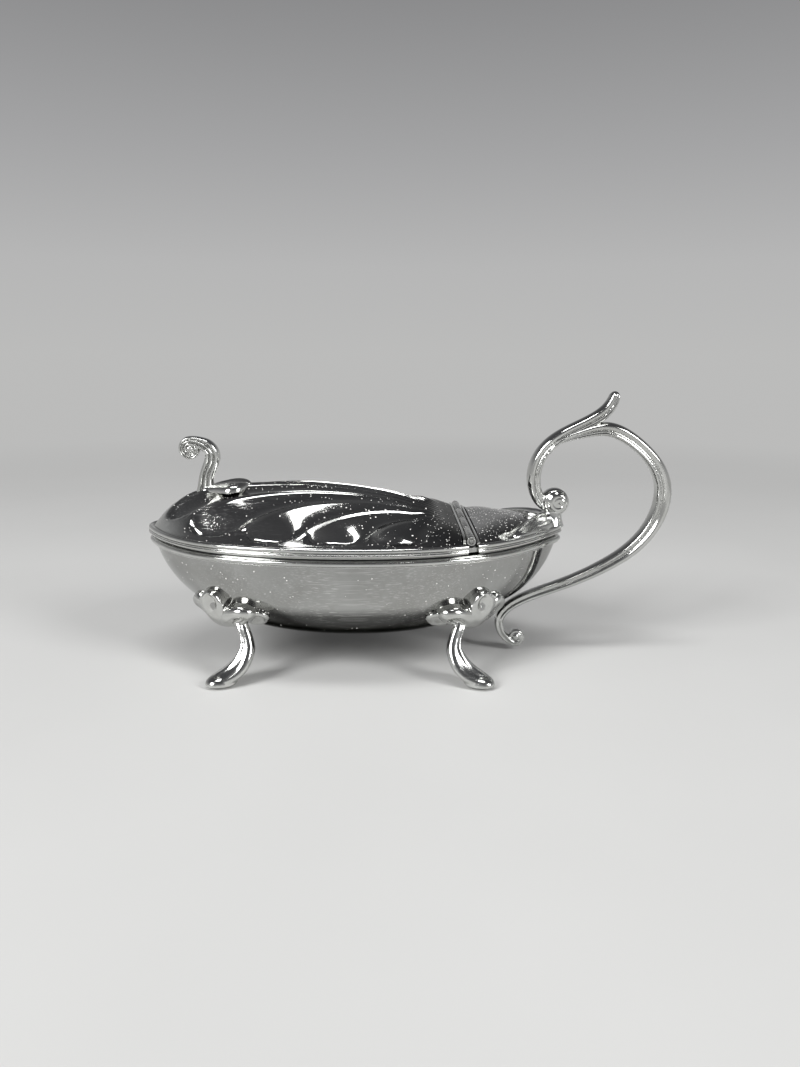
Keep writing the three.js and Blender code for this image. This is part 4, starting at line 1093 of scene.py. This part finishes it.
# ridges of the fan: number, start on the hinge edge, bend along and across, and angle at the rim
fan_edge = float(half_width_at(lid_rear_x, sheet_edge)) / half_width
fan = [(0, 0, -0.577, 0, 180), (0.5, 0.049, -0.603, 0.087, 172), (1.5, 0.133, -0.655, 0.364, 148),
       (2.5, 0.218, -0.472, 0.57, 123.5), (3.5, 0.291, -0.144, 0.68, 106), (4.5, 0.364, 0.118, 0.704, 88),
       (5.5, 0.583, 0.328, 0.777, 71),
       (6.5, fan_edge, lid_rear_x / half_length, fan_edge, float(angle_at(lid_rear_x, sheet_edge)) / degree)]


def fan_point(q, v):
    """Place on the lid seen from above: q counts the flutes from the middle, v runs from hinge to rim."""
    start, bend_x, bend_y, rim = (along([(f[0], f[i]) for f in fan], np.abs(q)) for i in range(1, 5))
    rim_x, rim_y = outline(rim * degree, sheet_edge)
    left = 1 - v
    x = left * left * lid_rear_x + 2 * left * v * bend_x * half_length + v * v * rim_x
    y = left * left * start * half_width + 2 * left * v * bend_y * half_width + v * v * rim_y
    return x, np.where(q < 0, -1, 1) * y


flute_tree, given, end = tree_with_inputs("shell_flutes", {
    "Depth share": 0.15, "Floor softness": 0.5 * mm, "Ridge height": 0.40 * mm,
    "Ridge half width": 0.36 * mm})
flute_marks = ["lane", "spread", "fade", "depth", "floor_z"]
lane, spread, fade, depth, floor_z = (mark(flute_tree, label) for label in flute_marks)
flute_calc = partial(calc, flute_tree)
times = partial(flute_calc, "MULTIPLY")
hollow = times(times(flute_calc("SINE", times(lane, math.pi)), spread), times(depth, given["Depth share"]))
from_ridge = times(flute_calc("MINIMUM", lane, flute_calc("SUBTRACT", 1.0, lane)), spread)
near = flute_calc("POWER", flute_calc("DIVIDE", from_ridge, given["Ridge half width"]), 2.0)
ridge = times(times(flute_calc("EXPONENT", times(near, -1.0)), given["Ridge height"]), fade)


def press(x, y, z):
    pressed = flute_calc("ADD", flute_calc("SUBTRACT", z, hollow), ridge)
    return x, y, flute_calc("SMOOTH_MAX", pressed, floor_z, given["Floor softness"])


end(with_y_or_z(flute_tree, given["Geometry"], press))

lane_count = 13
lane_steps = [0, 0.012, 0.026, 0.045, 0.075, 0.12, 0.2, 0.3, 0.4, 0.5, 0.6, 0.7, 0.8, 0.88, 0.925, 0.955,
              0.974, 0.988]
lid_columns = np.array([i + step for i in range(lane_count) for step in lane_steps] + [lane_count])
lid_columns -= lane_count / 2
lid_rows = 1 - (1 - np.linspace(0, 1, 190)) ** 1.25


def lid_blank():
    """The plain dome before its flutes are pressed, with the marks that the pressing follows."""
    v, q = np.meshgrid(lid_rows, lid_columns, indexing="ij")
    x, y = fan_point(q, v)
    dome = dome_height(x, y)
    wide_x, wide_y = fan_point(np.abs(q) + 0.5, v)
    tight_x, tight_y = fan_point(np.abs(q) - 0.5, v)
    spread = np.hypot(wide_x - tight_x, wide_y - tight_y) * mm
    lane = np.where(np.abs(q) < 0.5, q + 0.5, (np.abs(q) - 0.5) % 1)
    fade = (1 - smooth_step(23, 33, x)) * (np.abs(q) < 5.5)
    hollow_end = 0.955 - 0.15 * np.abs(2 * lane - 1) ** 2.4
    depth = fade * (1 - smooth_step(hollow_end - 0.075, hollow_end, v))
    depth *= 0.8 + 0.9 * np.exp(-((v - 0.80) / 0.13) ** 2)
    fade *= (1 - smooth_step(0.80, 0.90, v)) * (0.6 + 0.4 * smooth_step(0.6, 1.4, np.abs(q)))
    floor_high = np.minimum(dome, edge_top + 0.2)
    floor_low = floor_high - lid_sheet_thick
    floor_low[-1] = lid_seat
    top = np.stack([x, y, dome], -1)
    bottom = top - (0, 0, lid_sheet_thick)
    bottom[-1, :, 2] = lid_seat
    both_sides = [(side, side) for side in (lane, spread, fade, depth)] + [(floor_high * mm, floor_low * mm)]
    marks = {label: np.ravel(sides) for label, sides in zip(flute_marks, both_sides)}
    return *slab(top, bottom), marks


# painted shade: the lid's outside is painted darker towards the hinge, as a dark reflection; its dust is real
lid_silver = silver("lid_silver", shade=0.56, dull=0.07, scratch=0.9, wave=0.010, seed=9.4, crevice=0.25,
                    dust=0.55, painted_dark_reflection=(0, middle_x + 12 * mm, middle_x + 34 * mm, 0.75), satin=-0.05)
lid_points, lid_faces, lid_marks = lid_blank()
lid_sheet = bare_piece("lid_sheet", lid_points, faces=lid_faces, marks=lid_marks)
grow(lid_sheet, flute_tree, lid_silver, crease=65)
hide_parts("lid_shell")
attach(lid_sheet, "lid")

# Finial
# The thumb-piece is cast: a reeded stem that rolls forward into a volute, and behind it a leaf
# with two rolled sides, pinned and soldered on the lid's crown.
finial_silver = silver("finial_silver", shade=0.70, dull=0.13, scratch=0.5, wave=0.012, seed=11.3,
                       crevice=0.9)
stem_x = 20.1 - half_length
stem_foot = float(dome_height(np.array(stem_x), 0))
stem_rise = 17.5
stem_thick = 5.1
volute = (stem_x - 4.9, stem_foot + stem_rise - 2.4)
stem_line = [(stem_x + out * stem_rise, stem_foot + up * stem_rise, thick * stem_thick, wide * stem_thick)
             for out, up, thick, wide in (
                 (-0.022, -0.06, 1.25, 1.15), (0.004, 0.1, 1.12, 1.04), (0.018, 0.26, 1.08, 1),
                 (0.092, 0.45, 1.1, 0.98), (0.163, 0.63, 1.12, 1), (0.168, 0.79, 1.08, 1),
                 (0.075, 0.922, 1.0, 1), (-0.07, 0.995, 0.88, 0.97))]
stem_line += curl(volute, 72, 1.05, (3.3, 1.7), (3.5, 2.1), (4.8, 4.2))
stem_reeds = reed_set((0.30, 0.20, 0.46), (0.0, 0.17, 0.5), (-0.29, 0.21, 0.47))
finial_scroll = reeded_strap("finial_scroll_casting", stem_line, stem_reeds, finial_silver, firm=30)
add_ball(finial_scroll, finial_silver, *volute, 1.7, 2.7)
cast_smooth(finial_scroll, 0.13, 4)
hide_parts("finial_scroll")
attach(finial_scroll, "lid")

finial_leaf_length = 17.6
finial_leaf_half = 8.8
finial_leaf_high = 3.1
leaf_widest = 0.64


def finial_leaf_shape():
    t = (1 - (1 - np.linspace(0, 1, 60)) ** 1.4)[:, None]
    c = np.linspace(-1, 1, 61)[None, :]
    behind = np.clip((t - leaf_widest) / (1 - leaf_widest), 0, 1)
    end_round = np.sqrt(np.clip(1 - behind ** 2, 0.0, 1))
    spread = smooth_step(0, leaf_widest, t)
    high = finial_leaf_high * (0.6 + 0.4 * spread) * end_round
    roll = np.sqrt(np.clip(1 - np.abs(c) ** 2.4, 0, 1))
    gutter = 0.72 * np.exp(-(c / 0.34) ** 2) * smooth_step(0.1, 0.5, t)
    veins = 0.035 * np.cos(c * 9 * math.pi) * roll * spread
    x = stem_x - 0.6 + finial_leaf_length * t + 0 * c
    y = finial_leaf_half * (0.38 + 0.62 * spread) * end_round * c
    base = dome_height(x, y)
    top = np.stack([x, y, base - 0.9 + (high + 0.6) * (roll - gutter * roll + veins)], -1)
    return slab(top, np.stack([x, y, base - 1.0], -1))


finial_leaf = make_piece("finial_leaf_casting", *finial_leaf_shape(), finial_silver)
cast_smooth(finial_leaf, 0.18, 2)
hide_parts("finial_leaf")
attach(finial_leaf, "lid")
